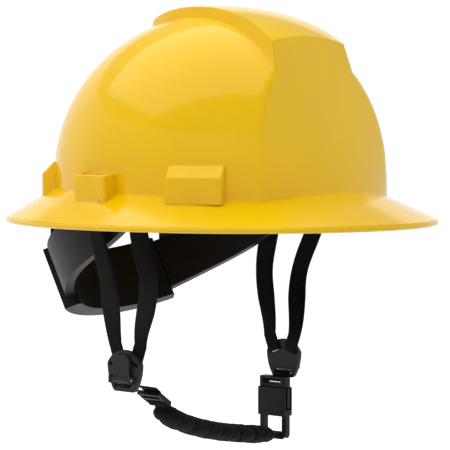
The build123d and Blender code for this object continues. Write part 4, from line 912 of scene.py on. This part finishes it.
class HARDHAT_OT_stage(Operator):
    """Sets the floor, the soft lamps and the camera"""
    bl_idname = "hard_hat.stage"
    bl_label = "Stage"

    def execute(self, context):
        scene, studio = context.scene, context.scene.hat_studio
        scene.view_settings.view_transform = "Standard"
        self.floor(scene)
        self.world(scene, studio)
        self.lamp("Key_Lamp", AWAY * -0.1 - BESIDE * 0.85 + UP * 1.5, (2.7, 2.2), studio.key)
        for name, place in (("Fill_Lamp", (-1.5, -0.5, 0.7)), ("Side_Lamp", (0.7, -1.4, 0.7))):
            fill = self.lamp(name, place, (0.9, 0.9), studio.fill, (0, 0, 0))
            fill.visible_glossy = False
        data = bpy.data.cameras.new("Photo_Camera")
        data.lens, data.sensor_width, data.clip_end = CAMERA_LENS, 36.0, 30.0
        camera = bpy.data.objects.new("Photo_Camera", data)
        scene.collection.objects.link(camera)
        camera.location = AWAY * CAMERA_REACH + UP * CAMERA_HEIGHT
        aim = BESIDE * 0.004 - UP * 0.002
        camera.rotation_euler = (aim - camera.location).to_track_quat("-Z", "Y").to_euler()
        scene.camera = camera
        return {"FINISHED"}

    def floor(self, scene):
        """The floor and the round backdrop behind it."""
        low = CAD_BOX[0][2] - scene.hat_studio.floor_drop
        bm = bmesh.new()
        bmesh.ops.create_grid(bm, x_segments=2, y_segments=2, size=7)
        bmesh.ops.translate(bm, verts=bm.verts, vec=(0, 0, low))
        self.stand(bm, "Studio_Floor", self.pale(scene, "studio_floor", FLOOR_GLOW))
        bm = bmesh.new()
        bmesh.ops.create_cone(bm, cap_ends=False, segments=64, radius1=BACKDROP_RADIUS, radius2=BACKDROP_RADIUS,
                              depth=BACKDROP_HEIGHT)
        bmesh.ops.translate(bm, verts=bm.verts, vec=(0, 0, low + BACKDROP_HEIGHT / 2))
        bmesh.ops.reverse_faces(bm, faces=bm.faces)
        self.stand(bm, "Studio_Backdrop", self.pale(scene, "studio_backdrop", BACKDROP_GLOW))

    def pale(self, scene, name, glow):
        """A pale matt paint that camera, glossy and see-through rays find white."""
        paint = Paint(name, Roughness=0.9)
        colour = scene.hat_colours.floor
        tone = paint.mix(paint.noise(3.0).ramp(0.3, 0.7), shade(colour, 0.99), shade(colour, 1.01))
        paint.tree.links.new(tone, paint.shader.inputs["Base Color"])
        seen = paint.node("ShaderNodeLightPath")
        looks = Value(paint, seen.outputs["Is Camera Ray"]).high(Value(paint, seen.outputs["Is Glossy Ray"]))
        looks = looks.high(Value(paint, seen.outputs["Is Transmission Ray"]))
        glow = paint.node("ShaderNodeEmission", {}, {"Strength": looks * glow})
        both = paint.node("ShaderNodeAddShader", {}, {0: paint.shader.outputs[0], 1: glow.outputs[0]})
        out = next(n for n in paint.tree.nodes if n.type == "OUTPUT_MATERIAL")
        paint.tree.links.new(both.outputs[0], out.inputs[0])
        return paint.material

    def stand(self, bm, name, material):
        mesh = bpy.data.meshes.new(name)
        bm.to_mesh(mesh)
        bm.free()
        mesh.materials.append(material)
        piece = bpy.data.objects.new(name, mesh)
        bpy.context.scene.collection.objects.link(piece)

    def world(self, scene, studio):
        """Plain room light over the backdrop's top."""
        world = bpy.data.worlds.new("Studio_Room")
        world.use_nodes = True
        nodes, links = world.node_tree.nodes, world.node_tree.links
        nodes.clear()
        sky = nodes.new("ShaderNodeBackground")
        sky.inputs["Color"].default_value = (1, 1, 1, 1)
        sky.inputs["Strength"].default_value = studio.sky
        out = nodes.new("ShaderNodeOutputWorld")
        links.new(sky.outputs[0], out.inputs[0])
        scene.world = world

    def lamp(self, name, place, size, power, aim=None):
        """A soft rectangular lamp, facing a spot, or else the floor with its sides along the view."""
        data = bpy.data.lights.new(name, "AREA")
        data.shape, data.energy = "RECTANGLE", power
        data.size, data.size_y = size
        lamp = bpy.data.objects.new(name, data)
        lamp.location = place
        lamp.rotation_euler = (0, 0, radians(-50))
        if aim is not None:
            lamp.rotation_euler = (Vector(aim) - Vector(place)).to_track_quat("-Z", "Y").to_euler()
        bpy.context.scene.collection.objects.link(lamp)
        return lamp


class HARDHAT_PT_panel(Panel):
    """Lists the hat's sizes, colours and steps"""
    bl_label = "Full Brim Hard Hat"
    bl_idname = "HARDHAT_PT_panel"
    bl_space_type = "VIEW_3D"
    bl_region_type = "UI"
    bl_category = "Hard Hat"

    def draw(self, context):
        for group in (context.scene.hat_sizes, context.scene.hat_colours, context.scene.hat_studio):
            box = self.layout.box()
            for key in group.__annotations__:
                box.prop(group, key)
        column = self.layout.column(align=True)
        for step in STEPS:
            column.operator(step.bl_idname)


STEPS = (HARDHAT_OT_shell, HARDHAT_OT_mouldings, HARDHAT_OT_adjusters, HARDHAT_OT_metal, HARDHAT_OT_crown_webs,
         HARDHAT_OT_hang_straps, HARDHAT_OT_harness_straps, HARDHAT_OT_drop_straps, HARDHAT_OT_chin_strap,
         HARDHAT_OT_chin_pad, HARDHAT_OT_brow_pad, HARDHAT_OT_stage)
GROUPS = (("hat_sizes", HatSizes), ("hat_colours", HatColours), ("hat_studio", StudioSettings))


def register():
    for name, group in GROUPS:
        bpy.utils.register_class(group)
        setattr(bpy.types.Scene, name, PointerProperty(type=group))
    for step in (*STEPS, HARDHAT_PT_panel):
        bpy.utils.register_class(step)


def unregister():
    for step in reversed((*STEPS, HARDHAT_PT_panel)):
        bpy.utils.unregister_class(step)
    for name, group in reversed(GROUPS):
        delattr(bpy.types.Scene, name)
        bpy.utils.unregister_class(group)


def main():
    register()
    for step in STEPS:
        group, action = step.bl_idname.split(".")
        getattr(getattr(bpy.ops, group), action)()


if __name__ == "__main__":
    main()
